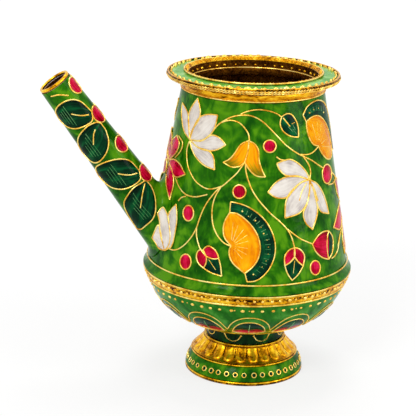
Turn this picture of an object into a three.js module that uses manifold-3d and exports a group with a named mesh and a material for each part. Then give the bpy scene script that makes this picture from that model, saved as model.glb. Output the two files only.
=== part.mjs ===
// Spouted water pot of enamelled and gilded sheet metal, with a wide mouth and a footed base.
// Millimetres, +Z up. The origin is the centre of the foot's underside, and the spout leans out along -X.
// The pot is put together as a metalworker solders it: raised shells, bands and wires stacked along Z,
// and a rolled spout whose flared root lies on the wall over a round hole.
import * as THREE from "three";
import { mergeVertices } from "three/addons/utils/BufferGeometryUtils.js";
import Module from "manifold-3d";

const wasm = await Module();
wasm.setup();

// Driving dimensions: the work as a whole
const SEAM = 0.3; // clearance in each soldered seam
const SHEET = 1.2; // thickness of the raised sheet
const WIRE_HEIGHT = 0.8; // of the drawn wires that cover the seams
const WIRE_STAND = 0.5; // how far such a wire stands out from the faces beside it

// The foot
const FOOT_RADIUS = 31.9; // at the base wire
const BASE_WIRE_HEIGHT = 2.0;
const BASE_WIRE_DEPTH = 2.2;
const BASE_PLATE_THICKNESS = 1.0;
const FOOT_BAND_HEIGHT = 7.2;
const FOOT_BAND_TAPER = 3.5; // how much smaller the band's radius is at its top
const FOOT_BAND_SWELL = 0.4; // how far the band's face bulges from a straight cone
const PEDESTAL_HEIGHT = 7.3;
const PEDESTAL_TAPER = 7.0;
const PEDESTAL_HOLLOW = 0.7; // how far the pedestal's face draws in from a straight cone
const STEM_HEIGHT = 5.5;
const STEM_STEP = 0.7; // how much smaller the stem is than the pedestal's top
const STEM_WAIST = 0.4; // how far the stem draws in at mid height

// The bowl and the waist
const BODY_RADIUS = 53.3; // outside of the bowl at the waist, and of the wall at its foot
const BOWL_HEIGHT = 26.8;
const BOWL_TURN_LOW = new THREE.Vector2(0.61, 0.24); // where the bowl's curve turns up,
const BOWL_TURN_HIGH = new THREE.Vector2(0.83, 0.46); // as shares of its reach and its height
const WAIST_BAND_HEIGHT = 3.8;
const WAIST_BAND_DEPTH = 0.8; // at the band's foot
const WAIST_BAND_SPREAD = 1.1; // the band is this much wider at its top
const SKIRT_REACH = 2.6; // how far the flange under the wall stands out from the body
const SKIRT_HEIGHT = 4.7;
const SKIRT_EDGE = 0.9; // height of the flange's upright edge
const SKIRT_HOLLOW = 0.33; // how far its slope draws in from a straight cone

// The wall, the neck and the mouth
const WALL_HEIGHT = 91.4;
const NECK_RADIUS = 37.6; // outside of the wall at its top
const COLLAR_HEIGHT = 3.9;
const COLLAR_STAND = 0.5; // how far the collar stands out from the wall
const RIM_REACH = 8.15; // from the neck's outside to the rim's edge
const RIM_EDGE_DEPTH = 1.6;
const RIM_EDGE_HEIGHT = 2.9;
const RIM_EDGE_BEVEL = 1.2; // how far the edge band slopes in towards its foot
const RIM_HEIGHT = 4.4; // of the rim's plate, at the mouth
const RIM_FALL = 0.7; // how far the plate's top falls towards its edge
const MOUTH_STEP = 3.7; // from the neck's outside in to the clear mouth
const LINING = 0.8; // thickness of the mouth's lining
const LIP_FLARE = 0.8; // how far the lining's lip lies out over the rim
const LIP_DROP = 0.6; // from the rim's top down to where the lip starts to slope out
const MOUTH_WIRE_WIDTH = 0.8;
const LEDGE = 0.6; // how far the collar shows inside the lining
const BEAD_RADIUS = 0.7;
const BEAD_COUNT = 56;
const BEAD_ROW_SETBACK = 0.2; // from the rim's edge band to the beads

// The spout
const SPOUT_TILT = THREE.MathUtils.degToRad(53.75); // above the horizontal
const SPOUT_LENGTH = 93.4; // along its centreline, from the wall to the tip
const SPOUT_ROOT_RADIUS = 12.2;
const SPOUT_TIP_RADIUS = 8.6;
const SPOUT_SHEET = 1.2;
const SPOUT_FOOT_RISE = 0.6; // from the wall's foot wire up to the spout's flare
const SPOUT_LIP_HEIGHT = 1.6;
const SPOUT_LIP_INSET = 0.4; // how far the lip narrows the bore
const FLARE_CROTCH = 8.0; // reach of the root's flare in the narrow angle over the spout
const FLARE_UNDER = 3.5; // and in the wide angle under it
const FLARE_EDGE = 0.4; // thickness of the flare where it thins out on the wall

// The enamel ornament stands up from the wall, the same on both sides of the spout. Its places are degrees
// round from the wall's front and shares of the wall's height. A petal is [direction, length, width], with
// the direction in degrees clockwise from upright.
const ENAMEL_RISE = 0.45;
const ENAMEL_ROOT = 0.6; // how deep its pads reach into the sheet, which fuses them to it
const PETAL_WIDEST = 0.6; // where a petal is widest, as a share of its length
const PETAL_NECK = [0.35, 0.5]; // nearer its base, as shares of its length and its width
const PETAL_START = 0.12; // where it starts, as a share of its length
const PAD_BOW = 0.134; // how far the side between an arc's ends bows out, as a share of its radius
const FLOWERS = [
  {
    around: -62.5,
    up: 0.755,
    petals: [[-40, 21.5, 6], [3, 21.9, 8.5], [46, 22.1, 9.3], [88, 22.5, 7], [124, 22, 7]],
  },
  {
    around: 29.4,
    up: 0.564,
    petals: [[-62, 21.6, 7.5], [-100, 24.7, 8.8], [-138, 24.1, 9.8], [181, 25.8, 8], [147, 24.4, 6]],
  },
  { around: -15.2, up: 0.799, petals: [[-134, 17.3, 6.5], [155, 20.2, 7]] },
  { around: -42.5, up: 0.19, petals: [[135, 18, 11]] },
  { around: 14.2, up: 0.22, petals: [[180, 17, 10]] },
  { around: 29.5, up: 0.2, petals: [[90, 12, 12]] },
  { around: 9.5, up: 0.93, petals: [[140, 13, 8]] },
];
const SEED_HEADS = [
  { around: -22, up: 0.228, radius: 21.3, from: -7, to: 157 },
  { around: 42, up: 0.74, radius: 20, from: -40, to: 140 },
];
const BERRIES = [
  { around: -0.4, up: 0.769, radius: 3.5 },
  { around: -20, up: 0.518, radius: 3.7 },
  { around: -53.7, up: 0.357, radius: 4 },
  { around: -50.7, up: 0.095, radius: 3.8 },
  { around: 28.7, up: 0.085, radius: 3.5 },
];

// How finely curves are cut into flat faces
const ROUND = 40; // sides in a full turn of a turned piece
const SPOUT_ROUND = 36;
const BOWL_STEPS = 9;
const FLARE_STEPS = 5;
const TRIM_STEPS = 4; // along the side of a band, the pedestal or the stem
const BEAD_SIDES = 6;
const ENAMEL_STEP = 30; // degrees between the corners of a round pad
const HALVINGS = 40; // of a length, when a point on it is found by halving
const WIRE_CORNER = 1 / 3; // share of a wire's section that its rounded corners take
const BEAD_NECK = 0.5; // thickness between two beads, as a share of a bead's

// Heights, worked out from the foot up
const footBandFoot = BASE_WIRE_HEIGHT + SEAM;
const footBandTop = footBandFoot + FOOT_BAND_HEIGHT;
const pedestalWireFoot = footBandTop + SEAM;
const pedestalFoot = pedestalWireFoot + WIRE_HEIGHT + SEAM;
const pedestalTop = pedestalFoot + PEDESTAL_HEIGHT;
const stemWireFoot = pedestalTop + SEAM;
const stemFoot = stemWireFoot + WIRE_HEIGHT + SEAM;
const stemTop = stemFoot + STEM_HEIGHT;
const bowlFoot = stemTop + SEAM;
const bowlShoulder = bowlFoot + BOWL_HEIGHT;
const lowerWaistWireFoot = bowlShoulder + SEAM;
const waistBandFoot = lowerWaistWireFoot + WIRE_HEIGHT + SEAM;
const waistBandTop = waistBandFoot + WAIST_BAND_HEIGHT;
const upperWaistWireFoot = waistBandTop + SEAM;
const bowlTop = upperWaistWireFoot + WIRE_HEIGHT;
const skirtFoot = bowlTop + SEAM;
const wallFoot = skirtFoot + SKIRT_HEIGHT;
const wallTop = wallFoot + WALL_HEIGHT;
const collarFoot = wallTop + SEAM;
const collarTop = collarFoot + COLLAR_HEIGHT;
const rimFoot = collarTop + SEAM;
const rimTop = rimFoot + RIM_HEIGHT;

// Radii that several pieces share
const bandTopRadius = FOOT_RADIUS - FOOT_BAND_TAPER;
const pedestalTopRadius = bandTopRadius - PEDESTAL_TAPER;
const stemRadius = pedestalTopRadius - STEM_STEP;
const skirtRadius = BODY_RADIUS + SKIRT_REACH;
const collarRadius = NECK_RADIUS + COLLAR_STAND;
const mouthRadius = NECK_RADIUS - MOUTH_STEP;
const liningRadius = mouthRadius + LINING;
const lipRadius = liningRadius + LIP_FLARE;
const rimBore = liningRadius + SEAM;
const rimRadius = NECK_RADIUS + RIM_REACH;
const rimPlateRadius = rimRadius - RIM_EDGE_DEPTH - SEAM;

// Outside radius of the tapered wall at a height.
const wallRadius = (z) => THREE.MathUtils.mapLinear(z, wallFoot, wallTop, BODY_RADIUS, NECK_RADIUS);

// Finishes: polished gilding, glossy enamels, and the duller gilding that hands don't reach.
const finish = (color, roughness, metalness) => ({ color, roughness, metalness });
const GILT = finish(0xd9a33a, 0.25, 1);
const INNER_GILT = finish(0x8a5a1c, 0.4, 1);
const LEAF_GREEN = finish(0x2f7d12, 0.15, 0);
const SEA_GREEN = finish(0x3a8a3c, 0.15, 0);
const DEEP_GREEN = finish(0x0c4a22, 0.15, 0);

const pot = new THREE.Group();

function add(name, geometry, look) {
  const mesh = new THREE.Mesh(geometry, new THREE.MeshStandardMaterial(look));
  mesh.name = name;
  pot.add(mesh);
}

// A half section of [radius, height] points, listed up the outside and down the inside, turned about Z.
function turned(section) {
  const points = section.map(([radius, z]) => new THREE.Vector2(radius, z));
  const endsOnAxis = section[0][0] === 0 && section.at(-1)[0] === 0;
  if (!endsOnAxis) points.push(points[0].clone());
  return new THREE.LatheGeometry(points, ROUND).rotateX(Math.PI / 2);
}

// A ring of square section with rounded outer corners.
function wireRing(inner, outer, foot, height) {
  const round = WIRE_CORNER * Math.min(height, outer - inner);
  return turned([
    [inner, foot],
    [outer - round, foot],
    [outer, foot + round],
    [outer, foot + height - round],
    [outer - round, foot + height],
    [inner, foot + height],
  ]);
}

// Section points along a side that swells out from the straight line between its ends, or draws in.
function bowedSide([r0, z0], [r1, z1], swell, steps) {
  const length = Math.hypot(r1 - r0, z1 - z0);
  const middle = new THREE.Vector2(
    (r0 + r1) / 2 + (2 * swell * (z1 - z0)) / length,
    (z0 + z1) / 2 - (2 * swell * (r1 - r0)) / length,
  );
  const curve = new THREE.QuadraticBezierCurve(new THREE.Vector2(r0, z0), middle, new THREE.Vector2(r1, z1));
  return curve.getPoints(steps).map((p) => [p.x, p.y]);
}

// The inner face of a sheet whose outer face is given, listed back down.
function innerFace(outer, thickness) {
  const last = outer.length - 1;
  return outer
    .map(([r, z], i) => {
      const [r0, z0] = outer[Math.max(i - 1, 0)];
      const [r1, z1] = outer[Math.min(i + 1, last)];
      const run = Math.hypot(r1 - r0, z1 - z0);
      return [r - (thickness * (z1 - z0)) / run, z + (thickness * (r1 - r0)) / run];
    })
    .reverse();
}

// The foot: base wire and plate, enamelled band, petalled pedestal and short stem.
function buildFoot() {
  const plateRadius = FOOT_RADIUS - BASE_WIRE_DEPTH - SEAM;
  add("base_wire", wireRing(plateRadius + SEAM, FOOT_RADIUS, 0, BASE_WIRE_HEIGHT), GILT);
  const plate = [
    [0, 0],
    [plateRadius, 0],
    [plateRadius, BASE_PLATE_THICKNESS],
    [0, BASE_PLATE_THICKNESS],
  ];
  add("base_plate", turned(plate), INNER_GILT);

  const bandFootEdge = [FOOT_RADIUS, footBandFoot];
  const bandSide = bowedSide(bandFootEdge, [bandTopRadius, footBandTop], FOOT_BAND_SWELL, TRIM_STEPS);
  const bandInside = [
    [bandTopRadius - 2 * SHEET, footBandTop],
    [FOOT_RADIUS - 2 * SHEET, footBandFoot],
  ];
  add("foot_band", turned([...bandSide, ...bandInside]), LEAF_GREEN);

  const ledgeWire = wireRing(bandTopRadius - SHEET, bandTopRadius + WIRE_STAND, pedestalWireFoot, WIRE_HEIGHT);
  add("pedestal_wire", ledgeWire, GILT);
  const pedestalSide = bowedSide(
    [bandTopRadius, pedestalFoot],
    [pedestalTopRadius, pedestalTop],
    -PEDESTAL_HOLLOW,
    TRIM_STEPS,
  );
  const pedestalInside = [
    [pedestalTopRadius - 2 * SHEET, pedestalTop],
    [bandTopRadius - 2 * SHEET, pedestalFoot],
  ];
  add("pedestal", turned([...pedestalSide, ...pedestalInside]), GILT);

  const stemWire = wireRing(stemRadius - SHEET, pedestalTopRadius + WIRE_STAND, stemWireFoot, WIRE_HEIGHT);
  add("stem_wire", stemWire, GILT);
  const stemSide = bowedSide([stemRadius, stemFoot], [stemRadius, stemTop], -STEM_WAIST, TRIM_STEPS);
  const stemBore = stemRadius - STEM_WAIST - SHEET;
  add("stem", turned([...stemSide, [stemBore, stemTop], [stemBore, stemFoot]]), DEEP_GREEN);
}

// The bowl: one raised sheet with a flat underside, and a straight lip that the waist band wraps.
function buildBowl() {
  const reach = BODY_RADIUS - stemRadius;
  const turn = (share) => new THREE.Vector2(stemRadius + share.x * reach, bowlFoot + share.y * BOWL_HEIGHT);
  const curve = new THREE.CubicBezierCurve(
    new THREE.Vector2(stemRadius, bowlFoot),
    turn(BOWL_TURN_LOW),
    turn(BOWL_TURN_HIGH),
    new THREE.Vector2(BODY_RADIUS, bowlShoulder),
  );
  const side = curve.getPoints(BOWL_STEPS).map((p) => [p.x, p.y]);
  const outside = [[0, bowlFoot], ...side, [BODY_RADIUS, bowlTop]];
  add("lower_bowl", turned([...outside, ...innerFace(outside, SHEET)]), SEA_GREEN);
}

// The waist: a bossed band between two wires, over the seam of bowl and wall.
function buildWaist() {
  const seat = BODY_RADIUS + SEAM;
  const lowerWire = wireRing(seat, seat + WIRE_STAND, lowerWaistWireFoot, WIRE_HEIGHT);
  add("lower_waist_wire", lowerWire, GILT);
  const band = [
    [seat, waistBandFoot],
    [seat + WAIST_BAND_DEPTH, waistBandFoot],
    [seat + WAIST_BAND_DEPTH + WAIST_BAND_SPREAD, waistBandTop],
    [seat, waistBandTop],
  ];
  add("waist_band", turned(band), GILT);
  add("upper_waist_wire", wireRing(seat, skirtRadius, upperWaistWireFoot, WIRE_HEIGHT), GILT);
}

// The spout's own directions: along its centreline, and the two across it.
const spoutAlong = new THREE.Vector3(-Math.cos(SPOUT_TILT), 0, Math.sin(SPOUT_TILT));
const spoutUpper = new THREE.Vector3(Math.sin(SPOUT_TILT), 0, Math.cos(SPOUT_TILT));
const spoutAcross = new THREE.Vector3().crossVectors(spoutAlong, spoutUpper);
const spoutRoot = rootOfSpout();
const spoutTubeLength = SPOUT_LENGTH - SPOUT_LIP_HEIGHT - SEAM;

// Where the centreline meets the wall, worked out from the corner that the spout's underside makes with it.
function rootOfSpout() {
  const cornerHeight = wallFoot + WIRE_HEIGHT + SPOUT_FOOT_RISE + FLARE_UNDER;
  const corner = new THREE.Vector3(-wallRadius(cornerHeight), 0, cornerHeight);
  const onAxis = corner.addScaledVector(spoutUpper, SPOUT_ROOT_RADIUS);
  const wallLean = (BODY_RADIUS - NECK_RADIUS) / WALL_HEIGHT;
  const depthInside = onAxis.x + wallRadius(onAxis.z);
  const nearing = Math.cos(SPOUT_TILT) + wallLean * Math.sin(SPOUT_TILT);
  return onAxis.addScaledVector(spoutAlong, depthInside / nearing);
}

// Outside radius of the spout at a distance from its root.
const spoutRadius = (s) => THREE.MathUtils.mapLinear(s, 0, SPOUT_LENGTH, SPOUT_ROOT_RADIUS, SPOUT_TIP_RADIUS);

// Direction out of the spout's centreline at an angle, counted from its upper side.
function spoutOutward(angle) {
  const direction = spoutUpper.clone().multiplyScalar(Math.cos(angle));
  return direction.addScaledVector(spoutAcross, Math.sin(angle));
}

// A point in the spout's tube, a depth under its outside.
function spoutPoint(angle, s, depth) {
  const onAxis = spoutRoot.clone().addScaledVector(spoutAlong, s);
  return onAxis.addScaledVector(spoutOutward(angle), spoutRadius(s) - depth);
}

// A point moved level until it stands a height off the wall.
function ontoWall(point, height) {
  const scale = (wallRadius(point.z) + height) / Math.hypot(point.x, point.y);
  return new THREE.Vector3(point.x * scale, point.y * scale, point.z);
}

// How far along the spout a line of its tube comes to a height off the wall, found by halving.
function meetingWithWall(angle, depth, height) {
  let inside = -3 * SPOUT_ROOT_RADIUS;
  let outside = 3 * SPOUT_ROOT_RADIUS;
  for (let halving = 0; halving < HALVINGS; halving++) {
    const middle = (inside + outside) / 2;
    const point = spoutPoint(angle, middle, depth);
    if (Math.hypot(point.x, point.y) < wallRadius(point.z) + height) inside = middle;
    else outside = middle;
  }
  return outside;
}

// One line round the spout's skin: down the outside, out along the flare to its edge,
// back under it along the wall, and up the bore.
function spoutSkinLine(angle) {
  const flare = THREE.MathUtils.mapLinear(Math.cos(angle), -1, 1, FLARE_UNDER, FLARE_CROTCH);
  const skirtHeight = SEAM + FLARE_EDGE;
  const corner = meetingWithWall(angle, 0, skirtHeight);
  const cornerPoint = spoutPoint(angle, corner, 0);
  const facing = new THREE.Vector3(cornerPoint.x, cornerPoint.y, 0).normalize();
  const spread = spoutOutward(angle);
  spread.addScaledVector(facing, -spread.dot(facing)).normalize();
  const landing = ontoWall(cornerPoint.clone().addScaledVector(spread, flare), skirtHeight);
  const bend = new THREE.QuadraticBezierCurve3(spoutPoint(angle, corner + flare, 0), cornerPoint, landing);

  const edge = ontoWall(landing, SEAM);
  const boreFoot = spoutPoint(angle, meetingWithWall(angle, SPOUT_SHEET, SEAM), SPOUT_SHEET);
  const between = ontoWall(edge.clone().lerp(boreFoot, 0.5), SEAM);
  return [
    spoutPoint(angle, spoutTubeLength, 0),
    ...bend.getPoints(FLARE_STEPS),
    edge,
    between,
    boreFoot,
    spoutPoint(angle, spoutTubeLength, SPOUT_SHEET),
  ];
}

// A closed skin through lines that each go once round the section of a ring.
function skinThrough(lines) {
  const count = lines[0].length;
  const faces = [];
  lines.forEach((line, i) => {
    const here = i * count;
    const next = ((i + 1) % lines.length) * count;
    line.forEach((point, k) => {
      const after = (k + 1) % count;
      faces.push(here + k, here + after, next + k);
      faces.push(next + k, here + after, next + after);
    });
  });
  const positions = lines.flat().flatMap((p) => p.toArray());
  return new THREE.BufferGeometry()
    .setAttribute("position", new THREE.Float32BufferAttribute(positions, 3))
    .setIndex(faces);
}

function buildSpout() {
  const lines = [];
  for (let i = 0; i < SPOUT_ROUND; i++) lines.push(spoutSkinLine((2 * Math.PI * i) / SPOUT_ROUND));
  add("spout_tube", skinThrough(lines), LEAF_GREEN);

  const lipBore = spoutRadius(spoutTubeLength) - SPOUT_SHEET - SPOUT_LIP_INSET;
  const round = SPOUT_LIP_HEIGHT / 4;
  const lip = turned([
    [lipBore, 0],
    [SPOUT_TIP_RADIUS, 0],
    [SPOUT_TIP_RADIUS + round, SPOUT_LIP_HEIGHT / 2],
    [SPOUT_TIP_RADIUS - round, SPOUT_LIP_HEIGHT],
    [lipBore, SPOUT_LIP_HEIGHT],
  ]);
  const lipFoot = spoutRoot.clone().addScaledVector(spoutAlong, spoutTubeLength + SEAM);
  lip.rotateY(SPOUT_TILT - Math.PI / 2).translate(...lipFoot.toArray());
  add("spout_lip", lip, GILT);
}

// A closed geometry as a solid that can be cut.
function solidOf(geometry) {
  const bare = geometry.clone();
  bare.deleteAttribute("normal");
  bare.deleteAttribute("uv");
  const merged = mergeVertices(bare, 1e-4);
  const vertProperties = merged.attributes.position.array;
  const triVerts = new Uint32Array(merged.index.array);
  return new wasm.Manifold(new wasm.Mesh({ numProp: 3, vertProperties, triVerts }));
}

function geometryOf(solid) {
  const mesh = solid.getMesh();
  return new THREE.BufferGeometry()
    .setAttribute("position", new THREE.BufferAttribute(mesh.vertProperties, 3))
    .setIndex(new THREE.BufferAttribute(mesh.triVerts, 1));
}

// A low pad of enamel on the wall. Its outline and its spine are offsets [across, up] in millimetres from a
// place on the wall. The spine's first and last points are on the outline, and between them each spine point
// has one outline point on its left and one on its right.
function enamelPad(place, spine, left, right, side) {
  const points = [];
  const middleAngle = THREE.MathUtils.degToRad(place.around);
  const middleHeight = wallFoot + place.up * WALL_HEIGHT;
  for (const height of [ENAMEL_RISE, -ENAMEL_ROOT]) {
    for (const [across, up] of [...spine, ...left, ...right]) {
      const z = middleHeight + up;
      const angle = middleAngle + across / wallRadius(z);
      const radius = wallRadius(z) + height;
      points.push(radius * Math.sin(angle), -side * radius * Math.cos(angle), z);
    }
  }
  const count = spine.length + left.length + right.length;
  const border = [0, ...left.map((_, i) => spine.length + i), spine.length - 1];
  right.forEach((_, i) => border.push(count - 1 - i));
  const faces = [];
  const half = (rail, turned) => {
    const line = [0, ...rail, spine.length - 1];
    for (let i = 0; i < line.length - 1; i++) {
      const quad = [i, i + 1, line[i + 1], line[i]];
      const corners = turned ? quad : quad.reverse();
      for (const [b, c] of [[corners[1], corners[2]], [corners[2], corners[3]]]) {
        const a = corners[0];
        if (a === b || b === c || c === a) continue;
        faces.push(a, b, c, count + a, count + c, count + b);
      }
    }
  };
  half(left.map((_, i) => spine.length + i), true);
  half(right.map((_, i) => spine.length + left.length + i), false);
  border.forEach((here, i) => {
    const next = border[(i + 1) % border.length];
    faces.push(here, next, count + here, next, count + next, count + here);
  });
  if (side < 0) faces.reverse();
  const pad = new THREE.BufferGeometry();
  return pad.setAttribute("position", new THREE.Float32BufferAttribute(points, 3)).setIndex(faces);
}

// A direction on the wall, in degrees clockwise from upright, as an offset of a length.
function heading(degrees, length) {
  const angle = THREE.MathUtils.degToRad(degrees);
  return [length * Math.sin(angle), length * Math.cos(angle)];
}

function petalPad(place, [direction, length, width], side) {
  const at = (along, across) => {
    const [x, y] = heading(direction, along * length);
    const [dx, dy] = heading(direction + 90, across * width);
    return [x + dx, y + dy];
  };
  const [neckAlong, neckWidth] = PETAL_NECK;
  const rail = (hand) => [at(neckAlong, (hand * neckWidth) / 2), at(PETAL_WIDEST, hand / 2)];
  const spine = [PETAL_START, neckAlong, PETAL_WIDEST, 1].map((along) => at(along, 0));
  return enamelPad(place, spine, rail(-1), rail(1), side);
}

// A pad with a round edge from one direction to another, and a slightly bowed side between its arc's ends.
function roundPad(place, radius, from, to, side) {
  const steps = Math.round((to - from) / (2 * ENAMEL_STEP));
  const turn = (to - from) / (2 * steps);
  const middle = (from + to) / 2;
  const left = [];
  const right = [];
  for (let i = steps; i > 0; i--) {
    left.push(heading(middle - turn * i, radius));
    right.push(heading(middle + turn * i, radius));
  }
  const between = left.map(([x, y], i) => [(x + right[i][0]) / 2, (y + right[i][1]) / 2]);
  const [bowX, bowY] = heading(middle, -PAD_BOW * radius);
  const base = [between[0][0] + bowX, between[0][1] + bowY];
  const spine = [base, ...between, heading(middle, radius)];
  return enamelPad(place, spine, left, right, side);
}

function enamelPads(side) {
  const petals = FLOWERS.flatMap((flower) => flower.petals.map((petal) => petalPad(flower, petal, side)));
  const heads = SEED_HEADS.map((head) => roundPad(head, head.radius, head.from, head.to, side));
  const nearlyRound = 180 - ENAMEL_STEP;
  const berries = BERRIES.map((berry) => roundPad(berry, berry.radius, -nearlyRound, nearlyRound, side));
  return [...petals, ...heads, ...berries].map(solidOf);
}

// The wall: a cone of sheet with a solid flange at its foot, and a round hole under the spout.
function buildWall() {
  const outside = [
    [skirtRadius, skirtFoot],
    ...bowedSide([skirtRadius, skirtFoot + SKIRT_EDGE], [BODY_RADIUS, wallFoot], -SKIRT_HOLLOW, TRIM_STEPS),
    [NECK_RADIUS, wallTop],
  ];
  const inside = [
    [NECK_RADIUS - SHEET, wallTop],
    [BODY_RADIUS - SHEET, wallFoot],
    [BODY_RADIUS - SHEET, skirtFoot],
  ];
  const holeRadius = SPOUT_ROOT_RADIUS - SPOUT_SHEET;
  const drill = new THREE.CylinderGeometry(holeRadius, holeRadius, 4 * SPOUT_ROOT_RADIUS, SPOUT_ROUND)
    .rotateX(Math.PI / 2)
    .rotateY(SPOUT_TILT - Math.PI / 2)
    .translate(...spoutRoot.toArray());
  const shell = solidOf(turned([...outside, ...inside]));
  const pads = [...enamelPads(1), ...enamelPads(-1)];
  const enamelled = pads.reduce((wall, pad) => wall.add(pad), shell.subtract(solidOf(drill)));
  add("tapered_wall", geometryOf(enamelled), LEAF_GREEN);

  const wireSeat = BODY_RADIUS + SEAM;
  add("wall_foot_wire", wireRing(wireSeat, wireSeat + WIRE_STAND, wallFoot, WIRE_HEIGHT), GILT);
}

// A ring of beads: a section that swells at each bead and narrows between them.
function beadRow(rowRadius, z) {
  const lines = [];
  for (let i = 0; i < 2 * BEAD_COUNT; i++) {
    const around = (Math.PI * i) / BEAD_COUNT;
    const size = i % 2 === 0 ? BEAD_RADIUS : BEAD_NECK * BEAD_RADIUS;
    const line = [];
    for (let corner = 0; corner < BEAD_SIDES; corner++) {
      const turn = (2 * Math.PI * corner) / BEAD_SIDES;
      const radius = rowRadius + size * Math.cos(turn);
      const height = z + size * Math.sin(turn);
      line.push(new THREE.Vector3(radius * Math.cos(around), radius * Math.sin(around), height));
    }
    lines.push(line.reverse());
  }
  return skinThrough(lines);
}

// The mouth: collar, flared rim plate with its edge band and bead row, lining and mouth wire.
function buildMouth() {
  const collarBore = mouthRadius - LEDGE;
  const collarRound = COLLAR_STAND / 3;
  const collar = [
    [collarBore, collarFoot],
    [collarRadius - collarRound, collarFoot],
    [collarRadius, collarFoot + COLLAR_HEIGHT / 3],
    [collarRadius, collarTop],
    [collarBore, collarTop],
  ];
  add("neck_collar", turned(collar), GILT);

  const plateEdgeTop = rimTop - RIM_FALL;
  const edgeFoot = rimTop - RIM_EDGE_HEIGHT;
  const plate = [
    [rimBore, rimFoot],
    [collarRadius, rimFoot],
    [rimPlateRadius, edgeFoot],
    [rimPlateRadius, plateEdgeTop],
    [rimBore, rimTop],
  ];
  add("rim_plate", turned(plate), SEA_GREEN);
  const edgeRound = RIM_EDGE_DEPTH / 4;
  const edge = [
    [rimPlateRadius + SEAM, edgeFoot],
    [rimRadius - RIM_EDGE_BEVEL, edgeFoot],
    [rimRadius, rimTop - 2 * edgeRound],
    [rimRadius - edgeRound, rimTop],
    [rimPlateRadius + SEAM, rimTop],
  ];
  add("rim_edge_band", turned(edge), GILT);

  const rowRadius = rimPlateRadius - BEAD_ROW_SETBACK - BEAD_RADIUS;
  const rowInside = rowRadius - BEAD_RADIUS;
  const plateUnderRow = THREE.MathUtils.mapLinear(rowInside, rimBore, rimPlateRadius, rimTop, plateEdgeTop);
  add("rim_bead_row", beadRow(rowRadius, plateUnderRow + SEAM + BEAD_RADIUS), GILT);

  const lipFoot = rimTop + SEAM;
  const lining = [
    [mouthRadius, rimFoot],
    [liningRadius, rimFoot],
    [liningRadius, lipFoot],
    [lipRadius, lipFoot],
    [lipRadius, lipFoot + WIRE_HEIGHT],
    [mouthRadius, rimTop - LIP_DROP],
  ];
  add("mouth_lining", turned(lining), INNER_GILT);
  const wireBore = lipRadius + SEAM;
  add("mouth_wire", wireRing(wireBore, wireBore + MOUTH_WIRE_WIDTH, lipFoot, WIRE_HEIGHT), GILT);
}

buildFoot();
buildBowl();
buildWaist();
buildWall();
buildSpout();
buildMouth();

export default pot;
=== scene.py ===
# %% [markdown]
# # Dressing a spouted water pot
#
# The real pot is raised from brass sheet. Thin gilt wires are soldered on it as little fences, glass
# powder is melted between them, and the whole is ground smooth and polished. The solid model already holds
# the metalwork at its real size. This lesson gives every piece its fine surface: turned shells with soft
# corners, fences of wire, pools of coloured enamel, rows of grains, and the finishes of each.

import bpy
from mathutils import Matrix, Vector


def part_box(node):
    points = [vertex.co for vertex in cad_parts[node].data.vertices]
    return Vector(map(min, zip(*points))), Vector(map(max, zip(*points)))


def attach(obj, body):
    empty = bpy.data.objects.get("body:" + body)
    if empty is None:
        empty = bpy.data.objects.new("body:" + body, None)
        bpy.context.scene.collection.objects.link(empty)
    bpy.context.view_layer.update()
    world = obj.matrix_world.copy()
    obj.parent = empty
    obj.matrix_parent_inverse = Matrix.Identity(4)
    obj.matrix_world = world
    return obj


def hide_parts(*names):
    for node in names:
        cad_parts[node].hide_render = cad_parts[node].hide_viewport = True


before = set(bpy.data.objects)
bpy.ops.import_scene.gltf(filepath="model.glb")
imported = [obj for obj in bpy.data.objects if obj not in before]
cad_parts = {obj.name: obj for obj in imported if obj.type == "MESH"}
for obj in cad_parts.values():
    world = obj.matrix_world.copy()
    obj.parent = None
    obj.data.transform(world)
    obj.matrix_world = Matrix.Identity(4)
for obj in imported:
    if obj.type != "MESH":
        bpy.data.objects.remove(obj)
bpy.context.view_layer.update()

import copy
import math

import bmesh
import bpy
from mathutils import Matrix, Vector
from mathutils.bvhtree import BVHTree

MM = 0.001  # the lesson works in millimetres, Blender in metres
BODY = "root"  # nothing on the pot moves, so every piece rides on one body


def box_mm(node):
    """Lowest and highest corner of a piece of the solid model, in millimetres."""
    low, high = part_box(node)
    return low / MM, high / MM


def placed(name, data):
    """A new object in the scene."""
    made = bpy.data.objects.new(name, data)
    bpy.context.scene.collection.objects.link(made)
    return made


print("pieces in the solid model:", len(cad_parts))

# %% [markdown]
# ## The camera
#
# A long lens stands almost a metre away and looks down on the pot by sixteen degrees, as for a catalogue
# picture. It stands on a circle round the pot's axis, a little towards the spout, and it is rolled by a
# degree and a half because nobody levels a tripod perfectly. Its directions are kept in the script, because
# the drawing on the wall is placed by looking along the same rays.

# %% Camera
PICTURE = 416  # pixels, both ways
LENS = 142.5  # mm, on a sensor 36 mm wide
SENSOR = 36.0
CAMERA_AWAY = 845.4  # mm from the axis, level
CAMERA_HEIGHT = 334.0
CAMERA_ROUND = math.radians(-13.57)  # from straight in front towards the spout
CAMERA_DOWN = math.radians(16.18)
CAMERA_ASIDE = math.radians(-1.478)
CAMERA_ROLL = math.radians(1.63)

round_axis = Matrix.Rotation(CAMERA_ROUND, 3, "Z")
eye = round_axis @ Vector((0, -CAMERA_AWAY, CAMERA_HEIGHT))
level_right = Vector((math.cos(CAMERA_ASIDE), -math.sin(CAMERA_ASIDE), 0))
look = Vector((
    math.sin(CAMERA_ASIDE) * math.cos(CAMERA_DOWN),
    math.cos(CAMERA_ASIDE) * math.cos(CAMERA_DOWN),
    -math.sin(CAMERA_DOWN),
))
level_up = level_right.cross(look)
right = round_axis @ (level_right * math.cos(CAMERA_ROLL) + level_up * math.sin(CAMERA_ROLL))
up = round_axis @ (level_up * math.cos(CAMERA_ROLL) - level_right * math.sin(CAMERA_ROLL))
look = round_axis @ look


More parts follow.
